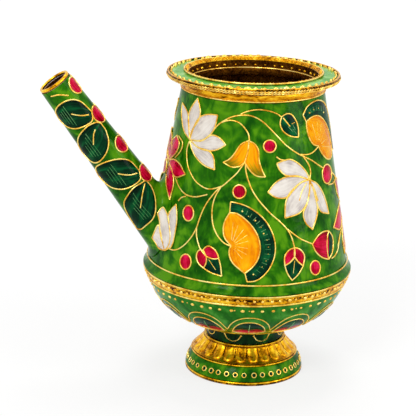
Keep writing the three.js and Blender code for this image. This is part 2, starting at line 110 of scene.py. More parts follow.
def sight(pixel):
    """Direction from the camera through a pixel of the picture, counted from its top left corner."""
    across = (pixel[0] - PICTURE / 2) * SENSOR / PICTURE / LENS
    down = (pixel[1] - PICTURE / 2) * SENSOR / PICTURE / LENS
    return (look + right * across - up * down).normalized()


camera = placed("camera", bpy.data.cameras.new("camera"))
camera.data.lens = LENS
camera.data.sensor_width = SENSOR
camera.data.sensor_fit = "HORIZONTAL"
camera.data.clip_start = 10 * MM
camera.matrix_world = Matrix.Translation(eye * MM) @ Matrix((right, up, -look)).transposed().to_4x4()
bpy.context.scene.camera = camera
print("camera at", [round(value) for value in eye], "mm")

# %% [markdown]
# ## Adding nodes from Python
#
# Finishes and modelling trees are both node trees, so one small class adds nodes to either: a type, its
# settings first, because they decide which sockets exist, and then the values or links of its sockets.
# Another class wraps a socket, so that sums on shades and lengths can be written as ordinary arithmetic.


# %% Node helpers
def sum_on(operation, reflected=False):
    """A method that adds a Math node, with the two values changed round if it is reflected."""
    def method(self, other):
        first, second = (other, self) if reflected else (self, other)
        return self.nodes.math(operation, first, second)

    return method


class Signal:
    """The output of a node, on which arithmetic adds Math nodes."""

    def __init__(self, nodes, socket):
        self.nodes = nodes
        self.socket = socket

    __add__ = sum_on("ADD")
    __radd__ = sum_on("ADD", reflected=True)
    __sub__ = sum_on("SUBTRACT")
    __rsub__ = sum_on("SUBTRACT", reflected=True)
    __mul__ = sum_on("MULTIPLY")
    __rmul__ = sum_on("MULTIPLY", reflected=True)
    __truediv__ = sum_on("DIVIDE")
    __rtruediv__ = sum_on("DIVIDE", reflected=True)


class Nodes:
    """Adds nodes to a tree."""

    def __init__(self, tree):
        self.tree = tree

    def add(self, kind, settings=None, inputs=None, output=None):
        """Adds a node and returns its named output, or its first one."""
        node = self.tree.nodes.new(kind)
        for name, value in (settings or {}).items():
            setattr(node, name, value)
        for key, value in (inputs or {}).items():
            self.join(value, self.find(node.inputs, key))
        if not node.outputs:
            return None
        return Signal(self, self.find(node.outputs, output or 0))

    def math(self, operation, *values):
        return self.add("ShaderNodeMath", {"operation": operation}, dict(enumerate(values)))

    def part(self, vector, axis):
        return self.add("ShaderNodeSeparateXYZ", inputs={0: vector}, output=axis)

    def find(self, sockets, key):
        usable = [socket for socket in sockets if socket.enabled]
        if isinstance(key, int):
            return usable[key]
        return next(socket for socket in usable if key in (socket.name, socket.identifier))

    def join(self, value, socket):
        if isinstance(value, Signal):
            self.tree.links.new(value.socket, socket)
        else:
            socket.default_value = value


def new_finish(name):
    """An empty material, and its nodes."""
    material = bpy.data.materials.new(name)
    material.use_nodes = True
    material.node_tree.nodes.clear()
    return material, Nodes(material.node_tree)


def paint(red, green, blue):
    """A colour from its 0 to 255 values on a screen."""
    def linear(value):
        share = value / 255
        return share / 12.92 if share <= 0.04045 else ((share + 0.055) / 1.055) ** 2.4

    return (linear(red), linear(green), linear(blue), 1.0)


print("helpers ready")

# %% [markdown]
# ## Floor, sky and lamps
#
# The pot stands on a plain pale table in soft light. The table and the sky are white to the camera and in
# reflections, by way of the ray's own kind, so that no more light falls on the pot than it needs. A part of
# the floor's look stays real paint, which keeps the soft shadow under the foot.

# %% Floor
FLOOR_REACH = 4.0  # metres
FLOOR_WHITE = 0.68  # share of plain white in what the camera sees of the floor round the foot
WHITE_NEAR, WHITE_FAR = 0.12, 0.6  # metres from the foot between which the floor turns all white


def seen_rays(nodes):
    """1 for rays from the camera, from glossy surfaces and through glass, 0 for the light itself."""
    path = "ShaderNodeLightPath"
    seen = nodes.add(path, output="Is Camera Ray") + nodes.add(path, output="Is Glossy Ray")
    seen = seen + nodes.add(path, output="Is Transmission Ray")
    return nodes.math("MINIMUM", seen, 1.0)


def stage_floor():
    mesh = bpy.data.meshes.new("floor")
    shape = bmesh.new()
    bmesh.ops.create_circle(shape, cap_ends=True, segments=96, radius=FLOOR_REACH)
    shape.to_mesh(mesh)
    shape.free()
    floor = placed("floor", mesh)
    material, nodes = new_finish("floor_paint")
    matt = nodes.add("ShaderNodeBsdfDiffuse", inputs={"Color": (0.86, 0.86, 0.86, 1)})
    white = nodes.add("ShaderNodeEmission", inputs={"Color": (1, 1, 1, 1), "Strength": 1.06})
    here = nodes.add("ShaderNodeTexCoord", output="Object")
    away = nodes.add("ShaderNodeVectorMath", {"operation": "LENGTH"}, {0: here}, "Value")
    inputs = {"Value": away, "From Min": WHITE_NEAR, "From Max": WHITE_FAR, "To Min": FLOOR_WHITE}
    share = seen_rays(nodes) * nodes.add("ShaderNodeMapRange", inputs=inputs)
    look_of_floor = nodes.add("ShaderNodeMixShader", inputs={0: share, 1: matt, 2: white})
    nodes.add("ShaderNodeOutputMaterial", inputs={"Surface": look_of_floor})
    mesh.materials.append(material)


stage_floor()
print("floor reaches", FLOOR_REACH, "m")


# %% Sky and lamps
def sky(strength):
    world = bpy.data.worlds.new("sky")
    bpy.context.scene.world = world
    world.use_nodes = True
    world.node_tree.nodes.clear()
    nodes = Nodes(world.node_tree)
    soft = nodes.add("ShaderNodeBackground", inputs={"Color": (1, 1, 1, 1), "Strength": strength})
    white = nodes.add("ShaderNodeBackground", inputs={"Color": (1, 1, 1, 1), "Strength": 1.0})
    both = nodes.add("ShaderNodeMixShader", inputs={0: seen_rays(nodes), 1: soft, 2: white})
    nodes.add("ShaderNodeOutputWorld", inputs={"Surface": both})


def lamp(name, place, aim, size, power):
    data = bpy.data.lights.new(name, "AREA")
    data.shape = "DISK"
    data.size = size
    data.energy = power
    lamp_object = placed(name, data)
    lamp_object.location = place
    lamp_object.rotation_euler = (Vector(aim) - Vector(place)).to_track_quat("-Z", "Y").to_euler()


sky(0.52)
MIDDLE = (0, 0, 0.09)
lamp("window", (-0.7, -0.9, 0.9), MIDDLE, 0.5, 7.5)
lamp("filler", (0.9, -0.6, 0.5), MIDDLE, 0.6, 3.4)
lamp("crown", (0.1, 0.3, 1.2), MIDDLE, 0.5, 4.2)
bpy.context.scene.view_settings.view_transform = "Standard"
print("lamps:", [lamp_data.name for lamp_data in bpy.data.lights])

# %% [markdown]
# ## The finishes
#
# Enamel is glass: its colour lies under a clear gloss, and the maker's brush leaves lighter and darker
# strokes in it. Two noises make that, a slow one for where the powder lay thicker and a stretched, warped
# one for the strokes. In the small cells the glass darkens towards the wires, so the cells carry a map that
# runs across and along them. Gilding is metal, with brown and bright patches from noise that are partly
# tarnish and rubbed wear and partly painted dark and bright reflections.


# %% Finish helpers
def noise(nodes, where, scale, detail=2.0, distortion=0.0):
    inputs = {"Vector": where, "Scale": scale, "Detail": detail, "Distortion": distortion}
    return nodes.add("ShaderNodeTexNoise", inputs=inputs, output="Fac")


def stretched(nodes, where, stretch, turn=(0, 0, 0)):
    return nodes.add("ShaderNodeMapping", inputs={"Vector": where, "Rotation": turn, "Scale": stretch})


def steps_between(nodes, value, stops):
    """Colours from a value: a ramp with the given places and colours."""
    ramp = nodes.tree.nodes.new("ShaderNodeValToRGB")
    ramp.color_ramp.elements[0].position = stops[0][0]
    ramp.color_ramp.elements[0].color = stops[0][1]
    ramp.color_ramp.elements[1].position = stops[-1][0]
    ramp.color_ramp.elements[1].color = stops[-1][1]
    for place, colour in stops[1:-1]:
        ramp.color_ramp.elements.new(place).color = colour
    nodes.join(value, ramp.inputs["Fac"])
    return Signal(nodes, ramp.outputs["Color"])


def blended(nodes, share, first, second):
    return nodes.add("ShaderNodeMix", {"data_type": "RGBA"}, {"Factor": share, "A": first, "B": second})


def eased(nodes, value, low, high):
    """0 below one value, 1 above another, and a smooth rise between them."""
    inputs = {"Value": value, "From Min": low, "From Max": high}
    return nodes.add("ShaderNodeMapRange", {"interpolation_type": "SMOOTHSTEP"}, inputs)


def bumped(nodes, height, distance):
    inputs = {"Height": height, "Distance": distance * MM, "Strength": 1.0}
    return nodes.add("ShaderNodeBump", inputs=inputs)


def finished(nodes, **inputs):
    """Ends a finish with one surface, from its inputs by name, an underline for each blank."""
    inputs = {name.replace("_", " "): value for name, value in inputs.items()}
    surface = nodes.add("ShaderNodeBsdfPrincipled", inputs=inputs)
    nodes.add("ShaderNodeOutputMaterial", inputs={"Surface": surface})


print("finish helpers ready")

# %% Enamel of the wide fields
GLASS_ROUGH = 0.14
GLASS_GLOSS = 0.05  # reflection level, low because the glass is tinted through and slightly worn
PATCH_SCALE = 46.0  # noise cells in a metre
STROKE_SCALE = 190.0


def glaze(nodes, colour, normal):
    finished(nodes, Base_Color=colour, Roughness=GLASS_ROUGH, Specular_IOR_Level=GLASS_GLOSS, Normal=normal)


def ground_enamel(name, dark, middle, light):
    """The wide fields of enamel between the flowers, with patches and brush strokes."""
    material, nodes = new_finish(name)
    here = nodes.add("ShaderNodeTexCoord", output="Object")
    patches = noise(nodes, here, PATCH_SCALE, 2.0, 2.2)
    upright = stretched(nodes, here, (1.0, 1.0, 0.42), (0.5, 0.3, 0.0))
    strokes = noise(nodes, upright, STROKE_SCALE, 3.0, 1.6)
    colour = steps_between(
        nodes, patches * 0.7 + strokes * 0.3, [(0.38, dark), (0.5, middle), (0.61, light)]
    )
    fine = noise(nodes, upright, 5 * STROKE_SCALE, 2.0)
    colour = blended(nodes, eased(nodes, fine, 0.56, 0.8) * 0.25, colour, light)
    ripple = noise(nodes, here, 330.0, 1.0)
    glaze(nodes, colour, bumped(nodes, ripple, 0.12))
    return material


leaf_green = ground_enamel("leaf_green_enamel", paint(14, 76, 2), paint(42, 112, 3), paint(84, 148, 12))
sea_green = ground_enamel("sea_green_enamel", paint(24, 96, 16), paint(44, 122, 28), paint(76, 150, 52))
rim_green = ground_enamel("rim_green_enamel", paint(70, 150, 24), paint(104, 178, 62), paint(152, 204, 116))
stem_green = ground_enamel("stem_green_enamel", paint(2, 28, 6), paint(8, 54, 14), paint(30, 98, 24))
print("greens:", [green.name for green in (leaf_green, sea_green, rim_green, stem_green)])

# %% Enamel in the cells
CELL_PATCH_SCALE = 170.0


def cell_enamel(name, edge, middle, light, across=9.0, share=0.5):
    """A pool of glass in a cell: darker along its wires, with strokes that run along the petal or leaf."""
    material, nodes = new_finish(name)
    there = nodes.add("ShaderNodeUVMap")
    here = nodes.add("ShaderNodeTexCoord", output="Object")
    away = nodes.math("ABSOLUTE", nodes.part(there, "X") - 0.5) * 2.0
    wobble = noise(nodes, here, 420.0, 2.0)
    rim = eased(nodes, away + (wobble - 0.5) * 0.5, 0.62, 1.0)
    along = stretched(nodes, there, (across, 1.1, 1.0))
    strokes = noise(nodes, along, 1.0, 3.0, 0.6)
    patches = noise(nodes, here, CELL_PATCH_SCALE)
    value = strokes * share + patches * (1 - share)
    colour = steps_between(nodes, value, [(0.36, edge), (0.5, middle), (0.66, light)])
    colour = blended(nodes, rim * 0.8, colour, edge)
    ripple = noise(nodes, here, 500.0, 1.0)
    glaze(nodes, colour, bumped(nodes, ripple, 0.06))
    return material


white_glass = cell_enamel("white_enamel", paint(186, 176, 172), paint(226, 218, 208), paint(242, 236, 228))
crimson_glass = cell_enamel("crimson_enamel", paint(120, 0, 14), paint(194, 4, 46), paint(244, 36, 96))
marigold_glass = cell_enamel("marigold_enamel", paint(224, 116, 1), paint(250, 160, 3), paint(255, 186, 14))
deep_glass = cell_enamel("deep_green_enamel", paint(0, 22, 18), paint(0, 52, 28), paint(8, 100, 50))
print("glass:", [glass.name for glass in (white_glass, crimson_glass, marigold_glass, deep_glass)])


# %% Bell, leaves and strokes
def greening_bell():
    """Orange-yellow glass that shades to green in streaks towards the petal's tip."""
    material, nodes = new_finish("bell_enamel")
    there = nodes.add("ShaderNodeUVMap")
    strokes = noise(nodes, stretched(nodes, there, (7.0, 1.2, 1.0)), 1.0, 3.0, 0.6)
    stops = [(0.34, paint(226, 120, 2)), (0.5, paint(252, 164, 4)), (0.66, paint(255, 188, 14))]
    colour = steps_between(nodes, strokes, stops)
    green = eased(nodes, nodes.part(there, "Y") + (strokes - 0.5) * 0.9, 0.5, 0.86)
    colour = blended(nodes, green * 0.9, colour, paint(84, 104, 6))
    from_edge = nodes.math("ABSOLUTE", nodes.part(there, "X") - 0.5) * 2.0
    colour = blended(nodes, eased(nodes, from_edge, 0.7, 1.0) * 0.5, colour, paint(214, 96, 4))
    here = nodes.add("ShaderNodeTexCoord", output="Object")
    glaze(nodes, colour, bumped(nodes, noise(nodes, here, 500.0, 1.0), 0.06))
    return material


bell_glass = greening_bell()
leaf_glass = cell_enamel(
    "leaf_enamel", paint(0, 16, 8), paint(0, 52, 26), paint(6, 104, 50), across=5.0, share=0.7,
)
pale_strokes = ground_enamel("pale_strokes", paint(60, 130, 70), paint(96, 160, 96), paint(140, 190, 128))
print("enamels:", [m.name for m in bpy.data.materials if "enamel" in m.name])


# %% Gilding
def gilding(name, tarnish_and_dark_reflection, gold, wear_and_bright_reflection, rough, grain, stretch=(1.0, 1.0, 1.0)):
    """Gold from brown to bright in noise patches, partly tarnish and rubbed wear and partly painted dark and
    bright reflections, with a fine hammered grain in millimetres.
    """
    material, nodes = new_finish(name)
    here = stretched(nodes, nodes.add("ShaderNodeTexCoord", output="Object"), stretch)
    blotches = noise(nodes, here, 150.0, 3.0, 0.8)
    specks = noise(nodes, here, 900.0, 2.0)
    value = blotches * 0.65 + specks * 0.35
    colour = steps_between(nodes, value, [(0.36, tarnish_and_dark_reflection), (0.48, gold), (0.62, wear_and_bright_reflection)])
    hammer = noise(nodes, here, 380.0, 3.0)
    worn = eased(nodes, blotches, 0.8, 0.2) * 0.2 + rough
    finished(nodes, Base_Color=colour, Metallic=1.0, Roughness=worn, Normal=bumped(nodes, hammer, grain))
    return material


wire_gilt = gilding("wire_gilding", paint(206, 146, 34), paint(246, 200, 84), paint(255, 234, 140), 0.3, 0.03)
bright_gilt = gilding("gilding", paint(112, 60, 4), paint(226, 158, 12), paint(255, 212, 56), 0.22, 0.09)
dull_gilt = gilding("dull_gilding", paint(34, 16, 3), paint(100, 54, 9), paint(176, 112, 26), 0.3, 0.08)
# The darkest gilding is painted shade: under the base wire, on the rim edge's inward slope, in the belt's
# channel and in the hollows between the pedestal's petals.
shade_gilt = gilding("painted_shade_gilding", paint(14, 8, 2), paint(60, 34, 4), paint(206, 144, 14), 0.32, 0.1)
petal_gilt = gilding("petal_gilding", paint(100, 54, 4), paint(228, 158, 12), paint(255, 208, 40), 0.26, 0.08)
# The collar's streaks are the same mix of tarnish and painted reflection, stretched to run round the ring.
streaked_gilt = gilding(
    "streaked_gilding", paint(52, 25, 2), paint(214, 142, 8), paint(255, 206, 44), 0.24, 0.06,
    (0.6, 0.6, 3.0),
)
print("gildings:", [m.name for m in bpy.data.materials if "gilding" in m.name])

# %% [markdown]
# ## Turned shells
#
# Bowl, wall, bands and wires are round about one axis, so each is a half section carried round a circle.
# A modelling tree does it: it takes the section as a thin line of edges, with the radius along X and the
# height along Z, lays it flat as a profile, and sweeps it along a circle. Sections are written by their
# corners, which a helper softens, because a sharp edge never catches the light as real metal does.


# %% Modelling trees
def new_tree(name, sizes):
    """An empty modelling tree with geometry in and out, and named sizes."""
    tree = bpy.data.node_groups.new(name, "GeometryNodeTree")
    tree.interface.new_socket("Geometry", in_out="INPUT", socket_type="NodeSocketGeometry")
    for label, (kind, value) in sizes.items():
        socket = tree.interface.new_socket(label, in_out="INPUT", socket_type="NodeSocket" + kind)
        if value is not None:
            socket.default_value = value
    tree.interface.new_socket("Geometry", in_out="OUTPUT", socket_type="NodeSocketGeometry")
    nodes = Nodes(tree)
    entry = tree.nodes.new("NodeGroupInput")
    given = {socket.name: Signal(nodes, socket) for socket in entry.outputs if socket.name}
    return tree, nodes, given


def end_tree(nodes, geometry, material):
    """Every tree ends alike: real geometry instead of copies, and the piece's finish."""
    geometry = nodes.add("GeometryNodeRealizeInstances", inputs={"Geometry": geometry})
    geometry = nodes.add("GeometryNodeSetMaterial", inputs={"Geometry": geometry, "Material": material})
    nodes.add("NodeGroupOutput", inputs={"Geometry": geometry})


print("tree helpers ready")


# %% The tree that turns a section
def turning_tree():
    tree, nodes, given = new_tree("turned_shell", {
        "Turning Radius": ("Float", 0.05),
        "Sides": ("Int", 180),
        "Material": ("Material", None),
    })
    section = nodes.add("GeometryNodeMeshToCurve", inputs={"Mesh": given["Geometry"]})
    place = nodes.add("GeometryNodeInputPosition")
    reach = nodes.part(place, "X") - given["Turning Radius"]
    flat = nodes.add("ShaderNodeCombineXYZ", inputs={"X": reach, "Y": 0.0 - nodes.part(place, "Z")})
    section = nodes.add("GeometryNodeSetPosition", inputs={"Geometry": section, "Position": flat})
    circle_sizes = {"Resolution": given["Sides"], "Radius": given["Turning Radius"]}
    circle = nodes.add("GeometryNodeCurvePrimitiveCircle", inputs=circle_sizes)
    shell = nodes.add("GeometryNodeCurveToMesh", inputs={"Curve": circle, "Profile Curve": section})
    shell = nodes.add("GeometryNodeMergeByDistance", inputs={"Geometry": shell, "Distance": 1e-6})
    end_tree(nodes, shell, given["Material"])
    return tree


turned_shell = turning_tree()
print("tree:", turned_shell.name)


# %% From a tree to a fitted piece
def settled(piece, modifier):
    """Keeps what a modifier makes as the piece's plain mesh, and removes the modifier."""
    evaluated = piece.evaluated_get(bpy.context.evaluated_depsgraph_get())
    result = bpy.data.meshes.new_from_object(evaluated)
    piece.modifiers.remove(modifier)
    piece.data = result


def grown(name, tree, mesh, sizes):
    """Runs a tree on a mesh."""
    piece = placed(name, mesh)
    modifier = piece.modifiers.new(name, "NODES")
    modifier.node_group = tree
    for item in tree.interface.items_tree:
        if item.in_out == "INPUT" and item.name in sizes:
            modifier[item.identifier] = sizes[item.name]
    settled(piece, modifier)
    piece.data.name = name
    return piece


def mended(piece, sharp=math.radians(38)):
    """Merges doubles, turns all faces outwards, and shades smoothly except over sharp edges."""
    shape = bmesh.new()
    shape.from_mesh(piece.data)
    bmesh.ops.remove_doubles(shape, verts=shape.verts, dist=1e-6)
    bmesh.ops.dissolve_degenerate(shape, edges=shape.edges, dist=1e-7)
    bmesh.ops.recalc_face_normals(shape, faces=shape.faces)
    for face in shape.faces:
        face.smooth = True
    for edge in shape.edges:
        edge.smooth = edge.calc_face_angle(0) < sharp
    shape.to_mesh(piece.data)
    shape.free()
    return piece


def fitted(piece, slot, *nodes_replaced):
    """Says what the piece rides on and which solids it replaces. The slot is not used."""
    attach(piece, BODY)
    if nodes_replaced:
        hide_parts(*nodes_replaced)
    return piece


print("piece helpers ready")

# %% Sections
CORNER_STEPS = 3
NOT_A_CORNER = math.radians(155)  # a wider angle between neighbouring edges is a curve's own step


def soft_corners(section, radius):
    """A closed section whose corners are rounded, where they turn by more than a curve's own steps."""
    soft = []
    for i, corner in enumerate(section):
        before = Vector(section[i - 1]) - Vector(corner)
        after = Vector(section[(i + 1) % len(section)]) - Vector(corner)
        if before.angle(after) > NOT_A_CORNER:
            soft.append(tuple(corner))
            continue
        start = before * min(radius / before.length, 0.45)
        end = after * min(radius / after.length, 0.45)
        for step in range(CORNER_STEPS + 1):
            t = step / CORNER_STEPS
            point = Vector(corner) + start * (1 - t) ** 2 + end * t ** 2
            soft.append(tuple(point))
    return soft


def bowed(start, end, swell, steps=8):
    """Points from start to end on a curve that stands out from the straight line between them."""
    a, b = Vector(start), Vector(end)
    middle = (a + b) / 2 + Vector(((b - a).y, -(b - a).x)).normalized() * 2 * swell
    places = [i / steps for i in range(steps + 1)]
    return [tuple(a * (1 - t) ** 2 + middle * 2 * t * (1 - t) + b * t ** 2) for t in places]


def bent(start, first, second, end, steps):
    """Points on the curve with two handles, as a bowl's side."""
    a, b, c, d = Vector(start), Vector(first), Vector(second), Vector(end)
    places = [i / steps for i in range(steps + 1)]
    return [
        tuple(a * (1 - t) ** 3 + b * 3 * t * (1 - t) ** 2 + c * 3 * t * t * (1 - t) + d * t ** 3)
        for t in places
    ]


def inner_face(outer, thickness):
    """The other face of a sheet, listed back."""
    inner = []
    for i, (r, z) in enumerate(outer):
        r0, z0 = outer[max(i - 1, 0)]
        r1, z1 = outer[min(i + 1, len(outer) - 1)]
        run = math.hypot(r1 - r0, z1 - z0)
        inner.append((r - thickness * (z1 - z0) / run, z + thickness * (r1 - r0) / run))
    return inner[::-1]


print("section helpers ready")

# %% Turned pieces
SIDES = 180  # round a turned piece
FINE_SIDES = 220  # round the mouth


def turned(name, section, material, slot, *nodes_replaced, closed=True, sides=SIDES):
    """A piece turned from a half section of radius and height, in millimetres."""
    count = len(section)
    edges = [(i, (i + 1) % count) for i in range(count if closed else count - 1)]
    mesh = bpy.data.meshes.new(name + "_section")
    mesh.from_pydata([(r * MM, 0, z * MM) for r, z in section], edges, [])
    middle = sum(r for r, z in section) / count
    sizes = {"Turning Radius": middle * MM, "Sides": sides, "Material": material}
    piece = mended(grown(name, turned_shell, mesh, sizes))
    fitted(piece, slot, *nodes_replaced)
    print(name, "faces:", len(piece.data.polygons))
    return piece


def finish_faces(piece, material, where):
    """Gives another finish to the faces that a test picks by their radius, height and direction."""
    piece.data.materials.append(material)
    for face in piece.data.polygons:
        middle = face.center / MM
        if where(math.hypot(middle.x, middle.y), middle.z, face.normal):
            face.material_index = len(piece.data.materials) - 1


def ring_box(node):
    """Outer radius, foot and top of a turned piece of the solid model."""
    low, high = box_mm(node)
    return high.y, low.z, high.z


def block(inner, outer, foot, top):
    return [(inner, foot), (outer, foot), (outer, top), (inner, top)]


print("a turned piece has", SIDES, "sides, or", FINE_SIDES)

# %% [markdown]
# ## The foot
#
# The foot is a stack: a heavy base wire, a bowed band of green enamel, a gilt pedestal that draws in like a
# bell, and a short dark stem, with a drawn wire over each seam. Every height and radius comes from the solid
# model's own boxes, so the shells sit exactly where the solids are.

# %% Foot shells
SHEET = 1.2  # thickness of the raised brass
SEAM = 0.3  # clearance in a soldered seam
WIRE_CORNER = 0.3  # rounding of the drawn wires
FOOT_BAND_SWELL = 0.4
PEDESTAL_HOLLOW = 0.7
STEM_WAIST = 0.4
WIRE_STAND = 0.5


def drawn_wire(node, inner, material=bright_gilt, corner=WIRE_CORNER):
    section = soft_corners(block(inner, *ring_box(node)), corner)
    return turned(node + "_bright", section, material, "gilding", node)


foot_radius = ring_box("base_wire")[0]
BASE_SHADOW_TOP = 1.1  # height below which the base wire is painted dark, as the contact shadow under it
BASE_WIRE_DEPTH = 2.2
base_ring = drawn_wire("base_wire", foot_radius - BASE_WIRE_DEPTH, corner=0.7)
# Painted shadow: the base wire's faces below this height take the painted-shade gilding, for its contact
# shadow on the table.
finish_faces(base_ring, shade_gilt, lambda r, z, normal: z < BASE_SHADOW_TOP)

_, band_foot, band_top = ring_box("foot_band")
band_top_radius = ring_box("pedestal")[0]
band_side = bowed((foot_radius, band_foot), (band_top_radius, band_top), FOOT_BAND_SWELL)
band_section = band_side + [(band_top_radius - 2 * SHEET, band_top), (foot_radius - 2 * SHEET, band_foot)]
turned("foot_band_enamel", soft_corners(band_section, 0.35), leaf_green, "leaf_green_enamel", "foot_band")

drawn_wire("pedestal_wire", band_top_radius - SHEET)

_, pedestal_foot, pedestal_top = ring_box("pedestal")
stem_radius, stem_foot, stem_top = ring_box("stem")
pedestal_top_radius = ring_box("stem_wire")[0] - WIRE_STAND
pedestal_side = bowed(
    (band_top_radius, pedestal_foot), (pedestal_top_radius, pedestal_top), -PEDESTAL_HOLLOW, 12
)
pedestal_inside = [
    (pedestal_top_radius - 2 * SHEET, pedestal_top), (band_top_radius - 2 * SHEET, pedestal_foot),
]
pedestal_section = soft_corners(pedestal_side + pedestal_inside, 0.3)
turned("pedestal_gilding", pedestal_section, bright_gilt, "gilding", "pedestal")

drawn_wire("stem_wire", stem_radius - SHEET)
stem_side = bowed((stem_radius, stem_foot), (stem_radius, stem_top), -STEM_WAIST)
stem_bore = stem_radius - STEM_WAIST - SHEET
stem_section = stem_side + [(stem_bore, stem_top), (stem_bore, stem_foot)]
turned("stem_enamel", stem_section, stem_green, "deep_green_enamel", "stem")
print("foot stands", round(stem_top, 1), "mm high")

# %% [markdown]
# ## Bowl and wall
#
# The bowl is one raised sheet. Its side is a curve with two handles, and its inner face lies one sheet's
# thickness inside. The wall is a plain cone with a flange at its foot. The flange turns out over the waist.
# The hole under the spout is cut with a boolean, which leaves both shells closed. Outside they are
# enamelled, inside the brass stays bare, so the inner faces get their own finish.

# %% Bowl shell
BOWL_TURN_LOW = (0.61, 0.24)  # where the bowl's side turns up, as shares of its reach and height
BOWL_TURN_HIGH = (0.83, 0.46)

body_radius, bowl_foot, bowl_top = ring_box("lower_bowl")
bowl_shoulder = ring_box("lower_waist_wire")[1] - SEAM


def bowl_handle(share):
    reach, height = body_radius - stem_radius, bowl_shoulder - bowl_foot
    return (stem_radius + share[0] * reach, bowl_foot + share[1] * height)


bowl_side = bent(
    (stem_radius, bowl_foot), bowl_handle(BOWL_TURN_LOW), bowl_handle(BOWL_TURN_HIGH),
    (body_radius, bowl_shoulder), 28,
)
bowl_outside = [(0, bowl_foot)] + bowl_side + [(body_radius, bowl_top)]
bowl = turned(
    "lower_bowl_enamel", bowl_outside + inner_face(bowl_outside, SHEET), sea_green, "sea_green_enamel",
    "lower_bowl", closed=False,
)
bowl_lip_middle = body_radius - SHEET / 2
finish_faces(
    bowl, dull_gilt, lambda r, z, normal: normal.z > 0.02 or (r < bowl_lip_middle and z > bowl_shoulder),
)

# %% Wall shell
COLLAR_STAND = 0.5  # how far the collar stands out from the wall
FLANGE_EDGE = 0.9  # height of the flange's upright edge
FLANGE_HOLLOW = 0.33

flange_radius = ring_box("upper_waist_wire")[0]
flange_foot = ring_box("tapered_wall")[1]
wall_foot = ring_box("wall_foot_wire")[1]
wall_top = ring_box("tapered_wall")[2]
neck_radius = ring_box("neck_collar")[0] - COLLAR_STAND

flange = bowed((flange_radius, flange_foot + FLANGE_EDGE), (body_radius, wall_foot), -FLANGE_HOLLOW)
wall_section = [(flange_radius, flange_foot)] + flange + [
    (neck_radius, wall_top),
    (neck_radius - SHEET, wall_top),
    (body_radius - SHEET, wall_foot),
    (body_radius - SHEET, flange_foot),
]
wall = turned(
    "wall_enamel", soft_corners(wall_section, 0.4), leaf_green, "leaf_green_enamel", "tapered_wall", sides=240
)
print("wall from", round(wall_foot, 1), "to", round(wall_top, 1), "mm")

# %% [markdown]
# ## The spout
#
# The spout is a sheet rolled to a long cone and soldered on the wall, where its root flares out. Every line
# down its side follows the same rule: straight along the cone to near the wall, then round a bend on to the
# wall, back under the flare, and up the bore. Seventy-two such lines, laid side by side, are the skin.

# %% Where the spout stands
SPOUT_TILT = math.radians(53.75)
SPOUT_LENGTH = 93.4
SPOUT_ROOT_RADIUS = 12.2
SPOUT_TIP_RADIUS = 8.6
SPOUT_LIP_HEIGHT = 1.6
FLARE_CROTCH = 8.0  # reach of the flare over the spout
FLARE_UNDER = 3.5  # and under it
SPOUT_FOOT_RISE = 0.6  # from the wire at the wall's foot to the flare

spout_along = Vector((-math.cos(SPOUT_TILT), 0, math.sin(SPOUT_TILT)))
spout_upper = Vector((math.sin(SPOUT_TILT), 0, math.cos(SPOUT_TILT)))
spout_across = spout_along.cross(spout_upper)
wall_lean = (body_radius - neck_radius) / (wall_top - wall_foot)


def wall_radius(z):
    return body_radius - wall_lean * (z - wall_foot)


def root_of_spout():
    """Where the centreline meets the wall, from the corner that the spout's underside makes with it."""
    corner_height = ring_box("wall_foot_wire")[2] + SPOUT_FOOT_RISE + FLARE_UNDER
    on_axis = Vector((-wall_radius(corner_height), 0, corner_height)) + spout_upper * SPOUT_ROOT_RADIUS
    depth = on_axis.x + wall_radius(on_axis.z)
    return on_axis + spout_along * depth / (math.cos(SPOUT_TILT) + wall_lean * math.sin(SPOUT_TILT))


spout_root = root_of_spout()
tube_length = SPOUT_LENGTH - SPOUT_LIP_HEIGHT - SEAM


def spout_radius(s):
    return SPOUT_ROOT_RADIUS + (SPOUT_TIP_RADIUS - SPOUT_ROOT_RADIUS) * s / SPOUT_LENGTH


def spout_outward(angle):
    return spout_upper * math.cos(angle) + spout_across * math.sin(angle)


def on_spout(angle, s, depth=0.0):
    return spout_root + spout_along * s + spout_outward(angle) * (spout_radius(s) - depth)


print("spout root at", [round(value, 1) for value in spout_root], "mm")

# %% Lines down the spout
FLARE_EDGE = 0.4
FLARE_STEPS = 10
HALVINGS = 40
SPOUT_LINES = 72


def onto_wall(point, height):
    """The point moved level until it stands a height off the wall."""
    scale = (wall_radius(point.z) + height) / math.hypot(point.x, point.y)
    return Vector((point.x * scale, point.y * scale, point.z))


def meets_wall(angle, depth, height):
    """How far along the spout a line of it comes to a height off the wall, found by halving."""
    inside, outside = -3 * SPOUT_ROOT_RADIUS, 3 * SPOUT_ROOT_RADIUS
    for _ in range(HALVINGS):
        middle = (inside + outside) / 2
        point = on_spout(angle, middle, depth)
        if math.hypot(point.x, point.y) < wall_radius(point.z) + height:
            inside = middle
        else:
            outside = middle
    return outside


def spout_line(angle):
    flare = FLARE_UNDER + (FLARE_CROTCH - FLARE_UNDER) * (1 + math.cos(angle)) / 2
    corner = meets_wall(angle, 0, SEAM + FLARE_EDGE)
    corner_point = on_spout(angle, corner)
    facing = Vector((corner_point.x, corner_point.y, 0)).normalized()
    spread = spout_outward(angle)
    spread = (spread - facing * spread.dot(facing)).normalized()
    landing = onto_wall(corner_point + spread * flare, SEAM + FLARE_EDGE)
    start = on_spout(angle, corner + flare)
    places = [i / FLARE_STEPS for i in range(FLARE_STEPS + 1)]
    bend = [start * (1 - t) ** 2 + corner_point * 2 * t * (1 - t) + landing * t * t for t in places]
    edge = onto_wall(landing, SEAM)
    bore_foot = on_spout(angle, meets_wall(angle, SHEET, SEAM), SHEET)
    between = onto_wall((edge + bore_foot) / 2, SEAM)
    tips = [on_spout(angle, tube_length, depth) for depth in (0, SHEET)]
    return [tips[0], *bend, edge, between, bore_foot, tips[1]]


spout_lines = [spout_line(2 * math.pi * i / SPOUT_LINES) for i in range(SPOUT_LINES)]
print("points on each line:", len(spout_lines[0]))


